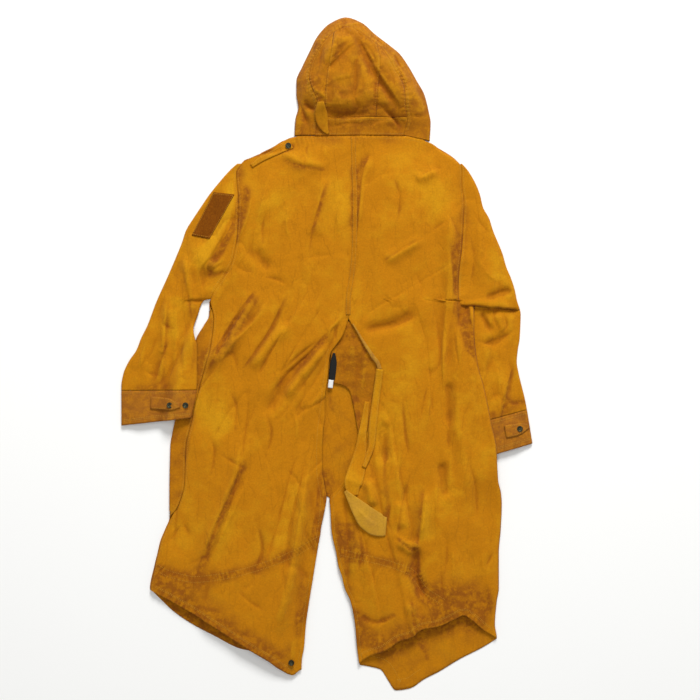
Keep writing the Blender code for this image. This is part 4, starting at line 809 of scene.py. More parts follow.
def bodyOver(x, y):
    shape = bodyShape
    left = x - follow(bodyLeft, y)
    right = follow(bodyRight, y) - x
    wrapped = wrapShare(y)
    low = mix(shape["edgeLow"], shape["sideFold"], wrapped)
    width = mix(shape["edgeWidth"], shape["sideFold"], wrapped)
    edge = np.minimum(roundEdge(left, width, low, shape["edgeHeight"]),
                      roundEdge(right, shape["edgeWidth"], shape["edgeLow"], shape["edgeHeight"]))
    inside = np.minimum(left, right)
    crown = shape["crown"] * smooth(inside / shape["crownReach"])
    besideVent = np.maximum(follow(ventLeft, y) - x, x - follow(ventRight, y))
    sunk = (shape["ventDrop"] * smooth((shape["ventTop"] - y) / shape["ventDropRun"])
            * (1.0 - smooth(besideVent / shape["ventDropReach"])))
    folds = foldsRise(bodyFolds, x, y) * rising(inside, *shape["foldsFrom"])
    detail = detailed(x, y, bodyCreases + seamCreases, bodyGathers, bodyWrinkles, 3, shape["crumple"])
    rise = np.maximum(crown + folds - sunk, 0.0) + detail * rising(inside, *shape["detailFrom"])
    return bodyUnder(x, y) + np.maximum(edge + rise, np.minimum(edge, shape["lowest"]))


def leftSleeveLift(x, y):
    edge = follow(bodyLeft, y) - sleeveShape["bodySlack"]
    along = smooth((sleeveShape["liftTop"] - y) / sleeveShape["liftRun"])
    return sleeveShape["onBody"] * along * smooth((x - edge + bodyShape["climb"]) / bodyShape["climb"])


def onFloor(x, y):
    return np.zeros(x.shape)


leftSleeve = {
    "inner": sleeveLeftInner, "outer": sleeveLeftOuter, "armhole": armholeLeft,
    "underarm": bodyShape["underarm"], "lift": leftSleeveLift, "folds": sleeveLeftFolds,
    "creases": sleeveLeftCreases + seamCreases, "heights": sleeveLeftHeights, "seed": 5,
}
rightSleeve = {
    "inner": sleeveRightInner, "outer": sleeveRightOuter, "armhole": armholeRight, "underarm": 101.3,
    "lift": onFloor, "folds": sleeveRightFolds, "creases": sleeveRightCreases + seamCreases,
    "heights": sleeveRightHeights, "seed": 7,
}


def innerEdge(sleeve, y):
    return np.where(y > sleeve["underarm"], follow(sleeve["armhole"], y), follow(sleeve["inner"], y))


def edgeTurn(width):
    # how far in from its edges a flattened sleeve is rounded
    return np.minimum(sleeveShape["edgeWidth"], sleeveShape["edgeShare"] * width)


def sleeveFaces(sleeve, x, y):
    # heights of the under and the upper face
    shape = sleeveShape
    inner = innerEdge(sleeve, y)
    width = np.maximum(np.abs(inner - follow(sleeve["outer"], y)), 1.0)
    fromInner = np.abs(inner - x)
    fromOuter = np.maximum(width - fromInner, 0.0)
    turn = edgeTurn(width)
    closed = smooth((bodyShape["underarm"] + shape["closedFrom"] - y) / shape["closedRun"])
    innerRound = mix(1.0, roundEdge(fromInner, turn, 0.0, 1.0), closed)
    full = np.minimum(innerRound, roundEdge(fromOuter, turn, 0.0, 1.0))
    middle = np.minimum(fromOuter, mix(shape["openReach"], fromInner, closed))
    roof = follow(sleeve["heights"], y) + shape["crown"] * smooth(middle / shape["crownReach"])
    creases = sleeve["creases"]
    detail = detailed(x, y, creases, sleeveGathers, sleeveWrinkles, sleeve["seed"], shape["crumple"])
    roof = roof + (foldsRise(sleeve["folds"], x, y) + detail) * rising(middle, *shape["detailFrom"])
    roof = np.maximum(roof, shape["lowest"])
    atBody = (1.0 - closed) * smooth(1.0 - fromInner / shape["besideBody"])
    roof = mix(roof, bodyOver(inner, y), atBody)
    base = sleeve["lift"](x, y)
    lips = shape["lip"] * (1.0 - innerRound)
    return base + roof * (0.5 - 0.5 * full) - lips, base + roof * (0.5 + 0.5 * full) + lips


def fineRim():
    # the rim's outline and its casing seam as close points, with the number of the table's row of each
    rows = np.array(hoodRim, dtype=float)
    reach = np.concatenate(((0.0,), np.cumsum(np.linalg.norm(np.diff(rows[:, :2], axis=0), axis=1))))
    at = np.linspace(0.0, reach[-1], int(reach[-1] / hoodShape["cell"]) + 1)
    columns = [follow(list(zip(reach, rows[:, number])), at) for number in range(4)]
    return np.column_stack(columns), np.interp(at, reach, np.arange(len(rows)))


rimLine, rimRow = fineRim()


def rimSeam(first, last, byY):
    part = rimLine[(rimRow >= first) & (rimRow <= last)]
    return list(zip(part[:, 3], part[:, 2])) if byY else list(zip(part[:, 2], part[:, 3]))


def hoodOver(x, y):
    shape = hoodShape
    inside = besideLine(x, y, rimLine[::4, :2])[0]
    part = np.clip(inside / shape["reach"], 0.0, 1.0)
    dome = shape["edgeHeight"] + (shape["height"] - shape["edgeHeight"]) * (1.0 - (1.0 - part) ** 2) ** 0.75
    onBack = np.minimum(dome, bodyOver(x, np.full(x.shape, shape["neckSeam"] - 2.0))) + shape["overBody"]
    nearNeck = smooth(1.0 - (y - shape["neckSeam"]) / shape["neckRun"])
    folds = 0.5 * foldsRise(hoodFolds, x, y) * rising(inside, *shape["foldsFrom"]) * (1.0 - nearNeck ** 4)
    detail = detailed(x, y, hoodCreases, hoodGathers, hoodWrinkles, 9, shape["crumple"])
    detail = detail * rising(inside, *shape["detailFrom"]) * (1.0 - 0.75 * nearNeck ** 6)
    return np.maximum(mix(dome, onBack, nearNeck) + folds + detail, np.minimum(dome, shape["lowest"]))


# Materials

def colour(code):
    # sRGB hex to linear
    parts = [int(code[spot:spot + 2], 16) / 255.0 for spot in (1, 3, 5)]
    linear = [part / 12.92 if part <= 0.04045 else ((part + 0.055) / 1.055) ** 2.4 for part in parts]
    return (*linear, 1.0)


def addNode(tree, kind, output, inputs=None, **settings):
    # one node with its settings and links; the output that is asked for comes back
    node = tree.nodes.new("ShaderNode" + kind)
    for name, value in settings.items():
        setattr(node, name, value)
    for name, value in (inputs or {}).items():
        if isinstance(value, bpy.types.NodeSocket):
            tree.links.new(value, node.inputs[name])
        else:
            node.inputs[name].default_value = value
    return node.outputs[output]


def newFinish(name, roughness, metallic=0.0, reflection=0.5):
    made = bpy.data.materials.new(name)
    made.use_nodes = True
    shader = made.node_tree.nodes["Principled BSDF"]
    shader.inputs["Roughness"].default_value = roughness
    shader.inputs["Metallic"].default_value = metallic
    shader.inputs["Specular IOR Level"].default_value = reflection
    return made, made.node_tree, shader


def perPatch(size):
    # a noise's scale, from the size of one patch in millimetres
    return 1.0 / (size * mm)


def perThread(pitch):
    # a wave's scale, from the pitch in millimetres: its period is a tenth of pi over its scale
    return np.pi / (10.0 * pitch * mm)


canvasSettings = {
    "thread": 0.9, "weaveDepth": 0.16,      # plain weave; a real thread is about half of this, drawn coarser
    "puckerDepth": 0.45, "lengthways": (1.0, 0.22, 0.6),
    "creaseSize": 26.0, "creaseWidth": 0.03, "creaseDepth": 0.35, "creaseDyeAndShadeTone": 0.93,
    # size of one patch, detail, roughness: cloud, patch, speck, fibres, pucker
    "patterns": ((115.0, 2.0, 0.55), (26.0, 4.0, 0.62), (3.2, 2.0, 0.55), (13.0, 3.0, 0.65), (9.0, 3.0, 0.6)),
}


def canvasFinish(name, codes, wornShare=0.0):
    # washed cotton canvas: matt, with a faint nap, faded on its ridges and browned along edges and seams; its
    # wear channel also carries painted shade in troughs, under overlaps and beside folds, its fade channel a
    # painted highlight on one raised edge, its hollows a painted shade that is partly dye, and its thin
    # crease lines are darkened, partly dye and partly painted shade
    settings = canvasSettings
    ground, light, wornAndShaded, hollowShadeAndDye = [colour(code) for code in codes]
    made, tree, shader = newFinish(name, 0.86, reflection=0.1)
    shader.inputs["Sheen Weight"].default_value = 0.03
    shader.inputs["Sheen Roughness"].default_value = 0.55
    place = addNode(tree, "TexCoord", "Object")
    wearAndShade, fadeAndHighlight, dip = [addNode(tree, "Attribute", "Fac", attribute_name=kind)
                       for kind in ("wearAndShade", "fadeAndHighlight", "dip")]
    cloud, patch, speck, fibres, pucker = [
        addNode(tree, "TexNoise", "Fac", {"Vector": place, "Scale": perPatch(size), "Detail": detail,
                                          "Roughness": roughness})
        for size, detail, roughness in settings["patterns"]]
    ragged, cloudy = [addNode(tree, "Math", 0, {0: noise, 1: gain, 2: -0.5 * gain}, operation="MULTIPLY_ADD")
                      for noise, gain in ((patch, 1.7), (cloud, 1.6))]
    browner = addNode(tree, "Math", 0, {0: wearAndShade, 1: ragged})
    paler = addNode(tree, "Math", 0, {0: addNode(tree, "Math", 0, {0: fadeAndHighlight, 1: cloudy}), 1: ragged})
    # hollows take a painted shade, partly dye gathered there; ridges are paler, rubbed
    lower = addNode(tree, "Math", 0, {0: dip, 1: ragged})
    higher = addNode(tree, "Math", 0, {0: ragged, 1: dip}, operation="SUBTRACT")
    long = addNode(tree, "VectorMath", "Vector", {0: place, 1: settings["lengthways"]}, operation="MULTIPLY")
    crease = addNode(tree, "TexNoise", "Fac", {"Vector": long, "Scale": perPatch(settings["creaseSize"]),
                                               "Detail": 1.0, "Roughness": 0.55})
    offMiddle = addNode(tree, "Math", 0, {0: crease, 1: 0.5}, operation="SUBTRACT")
    offMiddle = addNode(tree, "Math", 0, {0: offMiddle}, operation="ABSOLUTE")
    wearAndShadeShare, fadeAndHighlightShare, hollowShadeAndDyeShare, ridgeShare, fibreShare, plainShare, creaseShare = [
        addNode(tree, "MapRange", 0, {"Value": value, "From Min": low, "From Max": high, "To Max": top},
                interpolation_type="SMOOTHSTEP")
        for value, low, high, top in (
            (browner, 0.18 - wornShare, 0.85 - wornShare, 0.95), (paler, -0.15, 0.95, 1.0),
            (lower, 0.1, 1.2, 0.42), (higher, 0.25, 1.2, 0.35), (fibres, 0.38, 0.66, 0.75),
            (patch, 0.44, 0.6, 1.0), (offMiddle, 0.0, settings["creaseWidth"], 1.0))]
    crease = addNode(tree, "Math", 0, {0: creaseShare, 1: plainShare}, operation="MAXIMUM")
    brownWearAndShade = addNode(tree, "Mix", 2, {0: fibreShare, 6: wornAndShaded, 7: ground}, data_type="RGBA")
    blend = ground
    for share, other in ((fadeAndHighlightShare, light), (wearAndShadeShare, brownWearAndShade), (hollowShadeAndDyeShare, hollowShadeAndDye), (ridgeShare, light)):
        blend = addNode(tree, "Mix", 2, {0: share, 6: blend, 7: other}, data_type="RGBA")
    tint = addNode(tree, "MapRange", 0, {"Value": speck, "From Min": 0.3, "From Max": 0.7, "To Min": 0.9,
                                         "To Max": 1.07})
    # thin crease lines darkened: partly dye, partly painted shade
    creaseDyeAndShade = addNode(tree, "MapRange", 0, {"Value": crease, "To Min": settings["creaseDyeAndShadeTone"]})
    tint = addNode(tree, "Math", 0, {0: tint, 1: creaseDyeAndShade}, operation="MULTIPLY")
    toned = addNode(tree, "VectorMath", "Vector", {0: blend, 1: tint}, operation="MULTIPLY")
    weft, warp = [addNode(tree, "TexWave", "Fac", {"Vector": place, "Scale": perThread(settings["thread"]),
                                                   "Distortion": 0.4, "Detail": 1.0}, bands_direction=way)
                  for way in ("X", "Y")]
    weave = addNode(tree, "Math", 0, {0: weft, 1: warp}, operation="MULTIPLY")
    bumps = addNode(tree, "Bump", "Normal", {"Height": crease, "Distance": settings["creaseDepth"] * mm})
    for height, depth in ((pucker, settings["puckerDepth"]), (weave, settings["weaveDepth"])):
        bumps = addNode(tree, "Bump", "Normal", {"Height": height, "Distance": depth * mm, "Normal": bumps})
    tree.links.new(toned, shader.inputs["Base Color"])
    tree.links.new(bumps, shader.inputs["Normal"])
    return made


def wovenFinish(name, codes, pitch, roughness=0.8, depth=0.12):
    # narrow woven tape or loop pile: fine bands one way, broken up by a grain
    made, tree, shader = newFinish(name, roughness, reflection=0.15)
    place = addNode(tree, "TexCoord", "Object")
    grain = addNode(tree, "TexNoise", "Fac", {"Vector": place, "Scale": perPatch(2.2 * pitch), "Detail": 2.0,
                                              "Roughness": 0.55})
    bands = addNode(tree, "TexWave", "Fac", {"Vector": place, "Scale": perThread(pitch), "Distortion": 0.4,
                                             "Detail": 1.0}, bands_direction="Y")
    mixed = addNode(tree, "Math", 0, {0: bands, 1: 0.35, 2: grain}, operation="MULTIPLY_ADD")
    share = addNode(tree, "MapRange", 0, {"Value": mixed, "From Min": 0.35, "From Max": 0.95},
                    interpolation_type="SMOOTHSTEP")
    blend = addNode(tree, "Mix", 2, {0: share, 6: colour(codes[0]), 7: colour(codes[1])}, data_type="RGBA")
    height = addNode(tree, "Math", 0, {0: bands, 1: grain})
    tree.links.new(blend, shader.inputs["Base Color"])
    tree.links.new(addNode(tree, "Bump", "Normal", {"Height": height, "Distance": depth * mm}),
                   shader.inputs["Normal"])
    return made


def metalFinish(name, codes, roughness, metallic):
    # plated brass, mottled with a second tone by a fine grain
    made, tree, shader = newFinish(name, roughness, metallic)
    place = addNode(tree, "TexCoord", "Object")
    grain = addNode(tree, "TexNoise", "Fac", {"Vector": place, "Scale": perPatch(1.8), "Detail": 3.0,
                                              "Roughness": 0.55})
    share = addNode(tree, "MapRange", 0, {"Value": grain, "From Min": 0.42, "From Max": 0.7},
                    interpolation_type="SMOOTHSTEP")
    blend = addNode(tree, "Mix", 2, {0: share, 6: colour(codes[0]), 7: colour(codes[1])}, data_type="RGBA")
    tree.links.new(blend, shader.inputs["Base Color"])
    tree.links.new(addNode(tree, "Bump", "Normal", {"Height": grain, "Distance": 0.04 * mm, "Strength": 0.6}),
                   shader.inputs["Normal"])
    return made


# codes for canvas: ground, faded (its fade channel also a painted highlight), worn (its wear channel also
# painted shade), and a painted shade in the hollows that is partly dye; for the others: ground, second colour
canvas = canvasFinish("washed_cotton_canvas", ("#B87404", "#C68A0C", "#8C4E0A", "#8A4600"))
canvasWorn = canvasFinish("washed_cotton_canvas_worn", ("#B47212", "#BE8020", "#965A18", "#7C4208"), 0.45)
canvasInside = canvasFinish("cotton_canvas_inside", ("#C08C22", "#CC9C34", "#A8742A", "#98620C"))
thread = wovenFinish("spun_cotton_thread", ("#B88420", "#CC9A38"), 0.35)
loopPile = wovenFinish("nylon_loop_pile", ("#6E3600", "#8C4E02"), 1.4, 0.95, 0.5)
blackTape = wovenFinish("black_cotton_tape", ("#121212", "#2A2A28"), 0.6)
whiteTape = wovenFinish("white_cotton_tape", ("#D8D8D4", "#F0F0EC"), 0.6)
zipCloth = wovenFinish("zip_tape_twill", ("#8A5A24", "#A47030"), 0.7)
snapMetal = metalFinish("antique_plated_brass", ("#24241A", "#5A5A44"), 0.42, 0.85)
zipMetal = metalFinish("satin_brass", ("#8A6A34", "#B08C50"), 0.38, 1.0)
print("materials made")


# Making the pieces

trees = {}


def treeOf(name):
    # a cloth piece's faces, for laying and sewing things onto it
    if name not in trees:
        cloth = bpy.data.objects[name + "_cloth"]
        trees[name] = BVHTree.FromObject(cloth, bpy.context.evaluated_depsgraph_get())
    return trees[name]


def topAt(names, x, y):
    # height and facing of the highest of the pieces at a place
    best = 0.0
    facing = Vector((0.0, 0.0, 1.0))
    for name in names:
        hit, normal = treeOf(name).ray_cast(Vector((x * mm, y * mm, 1.0)), Vector((0.0, 0.0, -1.0)))[:2]
        if hit is not None and hit.z / mm > best:
            best = hit.z / mm
            facing = normal
    return best, facing


def underAt(names, x, y):
    # height of the lowest of the pieces at a place
    start = Vector((x * mm, y * mm, 0.002))
    found = [treeOf(name).ray_cast(start, Vector((0.0, 0.0, 1.0)))[0] for name in names]
    heights = [hit.z / mm for hit in found if hit is not None]
    return min(heights) if heights else None


def lone():
    bpy.ops.object.select_all(action="DESELECT")


def applyModifiers(piece):
    lone()
    piece.select_set(True)
    bpy.context.view_layer.objects.active = piece
    for modifier in list(piece.modifiers):
        bpy.ops.object.modifier_apply(modifier=modifier.name)


def named(piece, name):
    piece.name = name
    piece.data.name = name
    return piece


def finished(piece, finish, node=None):
    # its finish, its body, and the solid that it stands in for
    piece.data.materials.clear()
    piece.data.materials.append(finish)
    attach(piece, "root")
    if node:
        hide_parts(node)
    return piece


def clothPiece(name, points, finish, wearAndShade=0.0, fadeAndHighlight=0.0, wall=bodyShape["wall"]):
    # points[row][column] in millimetres; the wall goes inwards from them
    rows = points.shape[0] - 1
    columns = points.shape[1] - 1
    lone()
    bpy.ops.mesh.primitive_grid_add(x_subdivisions=columns, y_subdivisions=rows, size=1.0)
    piece = named(bpy.context.object, name + "_cloth")
    mesh = piece.data
    spots = np.empty(len(mesh.vertices) * 3)
    mesh.vertices.foreach_get("co", spots)
    spots = spots.reshape(-1, 3)
    column = np.rint((spots[:, 0] + 0.5) * columns).astype(int)
    row = np.rint((0.5 - spots[:, 1]) * rows).astype(int)
    mesh.vertices.foreach_set("co", (points[row, column] * mm).ravel())
    # dip: how far a point lies below its smoothed surroundings, for the painted shade in the hollows
    level = points[:, :, 2]
    for _ in range(36):
        padded = np.pad(level, 1, mode="edge")
        level = 0.2 * (level + padded[:-2, 1:-1] + padded[2:, 1:-1] + padded[1:-1, :-2] + padded[1:-1, 2:])
    dip = np.clip((level - points[:, :, 2]) / 2.0, -1.0, 1.0)
    for kind, values in (("wearAndShade", wearAndShade), ("fadeAndHighlight", fadeAndHighlight), ("dip", dip)):
        attribute = mesh.attributes.new(kind, "FLOAT", "POINT")
        values = np.broadcast_to(values, dip.shape)
        attribute.data.foreach_set("value", values[row, column].astype(np.float32))
    mesh.update()
    mesh.shade_smooth()
    shell = piece.modifiers.new("wall", "SOLIDIFY")
    shell.thickness = wall * mm
    shell.offset = -1.0
    applyModifiers(piece)
    return finished(piece, finish, name)


def between(left, right):
    # place across a panel, from the share of its width and the y along it
    def across(y, share):
        return mix(left(y), right(y), share)
    return across


def levelEnd(value):
    return lambda x: 0.0 * x + value


def endOn(table):
    return lambda x: follow(table, x)


def panelPoints(across, top, bottom, shares, stations, upperRows, lowerRows):
    # columns follow the side edges; rows are level at the stations and fan to the end edges
    start = np.full(len(shares), float(stations[0]))
    end = np.full(len(shares), float(stations[-1]))
    for _ in range(12):
        start = top(across(start, shares))
        end = bottom(across(end, shares))
    ups = np.linspace(0.0, 1.0, upperRows + 1)[:-1, None]
    downs = np.linspace(0.0, 1.0, lowerRows + 1)[1:, None]
    middle = np.repeat(np.asarray(stations)[:, None], len(shares), axis=1)
    ys = np.vstack((mix(start, stations[0], ups), middle, mix(stations[-1], end, downs)))
    return across(ys, np.broadcast_to(shares, ys.shape)), ys


def laid(places, height):
    x, y = places
    return np.dstack((x, y, height(x, y)))


def stationsFrom(start, end, cell):
    return np.linspace(start, end, max(2, int(round((start - end) / cell)) + 1))


def marked(points, rows):
    # how far each point is inside the worn or faded stretches
    return np.clip(creased(points[:, :, 0], points[:, :, 1], rows, 5.0, 1.6), 0.0, 1.0)


def canvasPiece(name, points, wornAndShaded, fadedAndHighlit, least=0.0):
    wearAndShade = np.maximum(marked(points, wornAndShaded), least)
    clothPiece(name, points, canvas, wearAndShade, marked(points, fadedAndHighlit))


# Backs and fronts

panels = {
    "rowsStart": 374.1, "leftRowsEnd": -470.5, "rightRowsEnd": -503.3,
    "backCell": 3.0, "backColumns": 131, "frontCell": 4.6, "frontColumns": 66,
    "underHood": 1.6, "hoodLeft": -66.0, "hoodRight": 206.0, "hoodRun": 8.0,
    "tailReach": ((-350.0, 0.0), (-296.0, 6.0), (-250.0, 4.5), (-130.0, 4.5), (-95.0, 0.0)),
    "frontSplit": -294.2, "frontInset": 1.5,
    "stripShare": 0.15, "turnShare": 0.5,           # the left front's columns round its fold
    "climbRun": 6.0, "frontSink": 0.6, "frontRise": 1.3, "frontRun": 20.0, "frontWidth": 300.0,
    # the left front's strip folded over the side is darker: painted shade on the side as it turns down
    "foldedStripShade": 0.62, "rightFrontWear": 0.4,
}
halfSeam = 0.5 * bodyShape["seamGap"]


def leftEdge(y):
    return np.where(y > bodyShape["underarm"], follow(armholeLeft, y), follow(sideSeamLeft, y)) + halfSeam


def rightSeam(y):
    return np.where(y > bodyShape["underarm"], follow(armholeRight, y), follow(bodyRight, y))


def rightEdge(y):
    return rightSeam(y) - halfSeam


def innerLeft(y):
    # the left tail reaches a little over the end of the vent
    tail = follow(ventLeft, y) + straight(panels["tailReach"], y)
    return np.where(y > bodyShape["ventTop"], follow(centreBack, y), tail) - halfSeam


def innerRight(y):
    return np.where(y > bodyShape["ventTop"], follow(centreBack, y), follow(ventRight, y)) + halfSeam


def backTop(shoulder):
    # the backs go a little way under the hood's lower edge
    run = panels["hoodRun"]
    return lambda x: follow(shoulder, x) + (panels["underHood"] * smooth((x - panels["hoodLeft"]) / run)
                                            * smooth((panels["hoodRight"] - x) / run))


def makeBacks():
    shares = np.linspace(0.0, 1.0, panels["backColumns"])
    for name, left, right, shoulder, hem, end, lowerRows in (
            ("back_left", leftEdge, innerLeft, shoulderLeft, hemBackLeft, "leftRowsEnd", 40),
            ("back_right", innerRight, rightEdge, shoulderRight, hemBackRight, "rightRowsEnd", 28)):
        stations = stationsFrom(panels["rowsStart"], panels[end], panels["backCell"])
        places = panelPoints(between(left, right), backTop(shoulder), endOn(hem), shares, stations, 18,
                             lowerRows)
        canvasPiece(name, laid(places, bodyOver), bodyWearAndShade, bodyFade)
    print("backs made")


def foldRadius(y):
    # never nought, as the turn is divided by it
    return bodyShape["sideFold"] * np.maximum(wrapShare(y), 0.02)


def curled(x, y):
    # the left front's outer strip goes round the side and over the back
    radius = foldRadius(y)
    start = follow(bodyLeft, y) + radius
    past = start - x
    turn = np.clip(past / radius, 0.0, np.pi)
    over = np.maximum(past - np.pi * radius, 0.0)
    newX = np.where(past <= 0.0, x, start - radius * np.sin(turn) + over)
    newZ = np.where(past <= 0.0, 0.0, radius * (1.0 - np.cos(turn)))
    climb = smooth(over / panels["climbRun"])
    roof = np.maximum(bodyOver(newX, y), newZ)
    return newX, np.where(over > 0.0, mix(newZ, roof, climb * wrapShare(y)), newZ)


def frontLift(x, y, inside):
    # the hidden fronts are creased as the back is, but only a little off the floor
    folds = creased(x, y, frontCreases) + 0.5 * crumple(x, y, 41, bodyShape["crumple"]) - panels["frontSink"]
    return np.clip(folds, 0.0, panels["frontRise"]) * smooth(inside / panels["frontRun"])


def outerLeft(y):
    # where the left front's strip ends, unrolled
    radius = foldRadius(y)
    strip = np.maximum(follow(sideSeamLeft, y) - follow(bodyLeft, y) - radius, 0.0) - bodyShape["seamGap"]
    outline = np.where(y > bodyShape["underarm"], follow(armholeLeft, y), follow(bodyLeft, y))
    return outline + halfSeam + (radius - np.pi * radius - np.maximum(strip, 0.0)) * wrapShare(y)


def frontInner(vent, way):
    # a front's inner edge: along the zip, then inside the vent's edge
    zipHalf = zipShape["width"] / 2.0 + bodyShape["seamGap"]
    return lambda y: np.where(y > panels["frontSplit"], follow(centreFront, y) + way * zipHalf,
                              follow(vent, y) + way * panels["frontInset"])


def makeFronts():
    innerOfLeft = frontInner(ventLeft, -1.0)
    first = panels["stripShare"]
    second = panels["turnShare"]

    def across(y, share):
        # columns gather where the cloth turns round the side
        edge = outerLeft(y)
        middle = innerOfLeft(y)
        turnStart = follow(bodyLeft, y) + foldRadius(y)
        turnEnd = turnStart - np.pi * foldRadius(y)
        turning = mix(turnEnd, turnStart, (share - first) / (second - first))
        flat = mix(turnStart, middle, (share - second) / (1.0 - second))
        folded = np.where(share < first, mix(edge, turnEnd, share / first),
                          np.where(share < second, turning, flat))
        return mix(mix(edge, middle, share), folded, wrapShare(y))

    shares = np.concatenate((np.linspace(0.0, first, 13), np.linspace(first, second, 17)[1:],
                             np.linspace(second, 1.0, 46)[1:]))
    stations = stationsFrom(panels["rowsStart"], panels["leftRowsEnd"], panels["frontCell"])
    x, y = panelPoints(across, endOn(shoulderLeft), endOn(hemFrontLeft), shares, stations, 14, 30)
    newX, z = curled(x, y)
    inside = panels["frontWidth"] * np.maximum(shares - second, 0.0)
    z = z + np.where(z < 0.01, frontLift(x, y, np.broadcast_to(inside, x.shape)), 0.0)
    points = np.dstack((newX, y, z))[:, ::-1]
    canvasPiece("front_left", points, bodyWearAndShade, bodyFade, panels["foldedStripShade"] * (points[:, :, 2] > 2.0))

    innerOfRight = frontInner(ventRight, 1.0)
    stations = stationsFrom(panels["rowsStart"], panels["rightRowsEnd"], panels["frontCell"])
    x, y = panelPoints(between(innerOfRight, rightEdge), endOn(shoulderRight), endOn(hemFrontRight),
                       np.linspace(0.0, 1.0, panels["frontColumns"]), stations, 14, 26)
    inside = np.minimum(x - innerOfRight(y), rightSeam(y) - x)
    points = np.dstack((x, y, bodyUnder(x, y) + frontLift(x, y, inside)))[:, ::-1]
    canvasPiece("front_right", points, bodyWearAndShade, (), panels["rightFrontWear"])
    print("fronts made")


# Sleeves

# ends as (y at the inner edge, y at the outer edge)
sleeveRows = {
    "top": (393.0, 393.0), "underarm": (bodyShape["underarm"], bodyShape["underarm"]), "elbow": (101.5, 91.2),
    "leftEnd": (-72.8, -74.8), "leftCuffEnd": (-130.2, -146.6),
    "rightEnd": (-150.7, -113.8), "rightCuffEnd": (-222.4, -183.5),
    "armholeGap": ((374.0, 0.15), (382.0, 0.4)), "cuffGap": 0.5, "cell": 3.2, "cuffWear": 0.4,
    "dropShare": 0.15,
    "overElbow": (-1.5, 115.5, -12.0), "underElbow": (3.6, 75.5, 26.0),     # drop, where it starts, its run
}


def sleevePoints(sleeve, innerY, outerY, drop):
    # a row runs round the flattened tube, from its inner edge under to the outer edge and back over
    innerX = innerEdge(sleeve, innerY)
    outerX = follow(sleeve["outer"], outerY)
    innerX = innerX + np.sign(outerX - innerX) * straight(sleeveRows["armholeGap"], innerY)
    width = np.abs(outerX - innerX)
    turn = (edgeTurn(width) / width)[:, None]
    nearEdge = (1.0 - np.cos(np.radians(np.linspace(0.0, 90.0, 7))))[None, :] * turn
    flat = 1.0 - 2.0 * turn
    below = turn + flat * np.linspace(0.0, 1.0, 20)[None, 1:]
    above = turn + flat * np.linspace(1.0, 0.0, 50)[None, 1:-1]
    under = np.hstack((nearEdge, below, 1.0 - nearEdge[:, -2::-1]))
    over = np.hstack((1.0 - nearEdge[:, 1:], above, nearEdge[:, ::-1]))
    depth, start, run = drop
    drops = (depth * smooth((innerY - start) / run))[:, None]
    parts = []
    for shares, face in ((under, 0), (over, 1)):
        x = mix(innerX[:, None], outerX[:, None], shares)
        y = mix(innerY[:, None], outerY[:, None], shares)
        inside = np.minimum(shares, 1.0 - shares) / sleeveRows["dropShare"]
        z = sleeveFaces(sleeve, x, y)[face] - face * drops * smooth(inside)
        parts.append(np.dstack((x, y, z)))
    points = np.hstack(parts)
    return points[:, ::-1] if outerX[-1] > innerX[-1] else points


def makeSleeve(name, sleeve, ends, finish, drop=(0.0, 0.0, 1.0), wearBase=0.0):
    innerY = []
    outerY = []
    for start, end in zip(ends[:-1], ends[1:]):
        count = max(2, int(round(abs(start[0] - end[0]) / sleeveRows["cell"])) + 1)
        innerY += list(np.linspace(start[0], end[0], count)[:-1])
        outerY += list(np.linspace(start[1], end[1], count)[:-1])
    points = sleevePoints(sleeve, np.array(innerY + [ends[-1][0]]), np.array(outerY + [ends[-1][1]]), drop)
    wearAndShade = np.clip(marked(points, sleeveWearAndShade) + wearBase, 0.0, 1.0)
    clothPiece(name, points, finish, wearAndShade, marked(points, sleeveFadeAndHighlight))


def makeSleeves():
    rows = sleeveRows
    cuffStart, belowElbow, rightCuffStart = [
        tuple(end - rows["cuffGap"] for end in rows[key]) for key in ("leftEnd", "elbow", "rightEnd")]
    makeSleeve("sleeve_left", leftSleeve, (rows["top"], rows["underarm"], rows["leftEnd"]), canvas)
    makeSleeve("cuff_left", leftSleeve, (cuffStart, rows["leftCuffEnd"]), canvasWorn,
               wearBase=rows["cuffWear"])
    makeSleeve("sleeve_right_upper", rightSleeve, (rows["top"], rows["underarm"], rows["elbow"]), canvas,
               rows["overElbow"])
    makeSleeve("sleeve_right_lower", rightSleeve, (belowElbow, rows["rightEnd"]), canvas,
               rows["underElbow"])
    makeSleeve("cuff_right", rightSleeve, (rightCuffStart, rows["rightCuffEnd"]), canvasWorn,
               wearBase=rows["cuffWear"])
    print("sleeves made")


# Hood

hoodPanels = {
    "gap": 0.06, "rimUnder": 28.0, "rimTurn": 2.5, "bandTop": 485.8, "bandRows": (480.0, 455.0),
    "sideTop": 557.0, "centreTop": 618.0, "panelEnd": 501.0, "wearAndShade": 0.68,
}


def makeHoodRim():
    # from the casing's seam over the outer edge and under
    edge = hoodShape["edgeHeight"]
    outer = rimLine[:, :2]
    seam = rimLine[:, 2:]
    length = np.linalg.norm(outer - seam, axis=1)
    way = (outer - seam) / length[:, None]
    columns = []
    for share in np.linspace(0.0, 1.0, 17):
        inward = mix(length - hoodPanels["gap"], hoodPanels["rimTurn"], share)
        spots = outer - way * inward[:, None]
        columns.append(np.column_stack((spots, hoodOver(spots[:, 0], spots[:, 1]))))
    brim = hoodOver(outer[:, 0], outer[:, 1])
    columns.append(np.column_stack((outer, brim)))
    for angle in np.radians(np.linspace(0.0, 90.0, 8)[1:]):
        spots = outer - way * edge * (1.0 - np.cos(angle))
        columns.append(np.column_stack((spots, np.maximum(brim, edge) * (1.0 - np.sin(angle)))))
    for step in np.linspace(edge, hoodPanels["rimUnder"], 9)[1:]:
        columns.append(np.column_stack((outer - way * step, np.zeros(len(outer)))))
    canvasPiece("hood_rim", np.array(columns).transpose(1, 0, 2), hoodWearAndShade, hoodFade, hoodPanels["wearAndShade"])


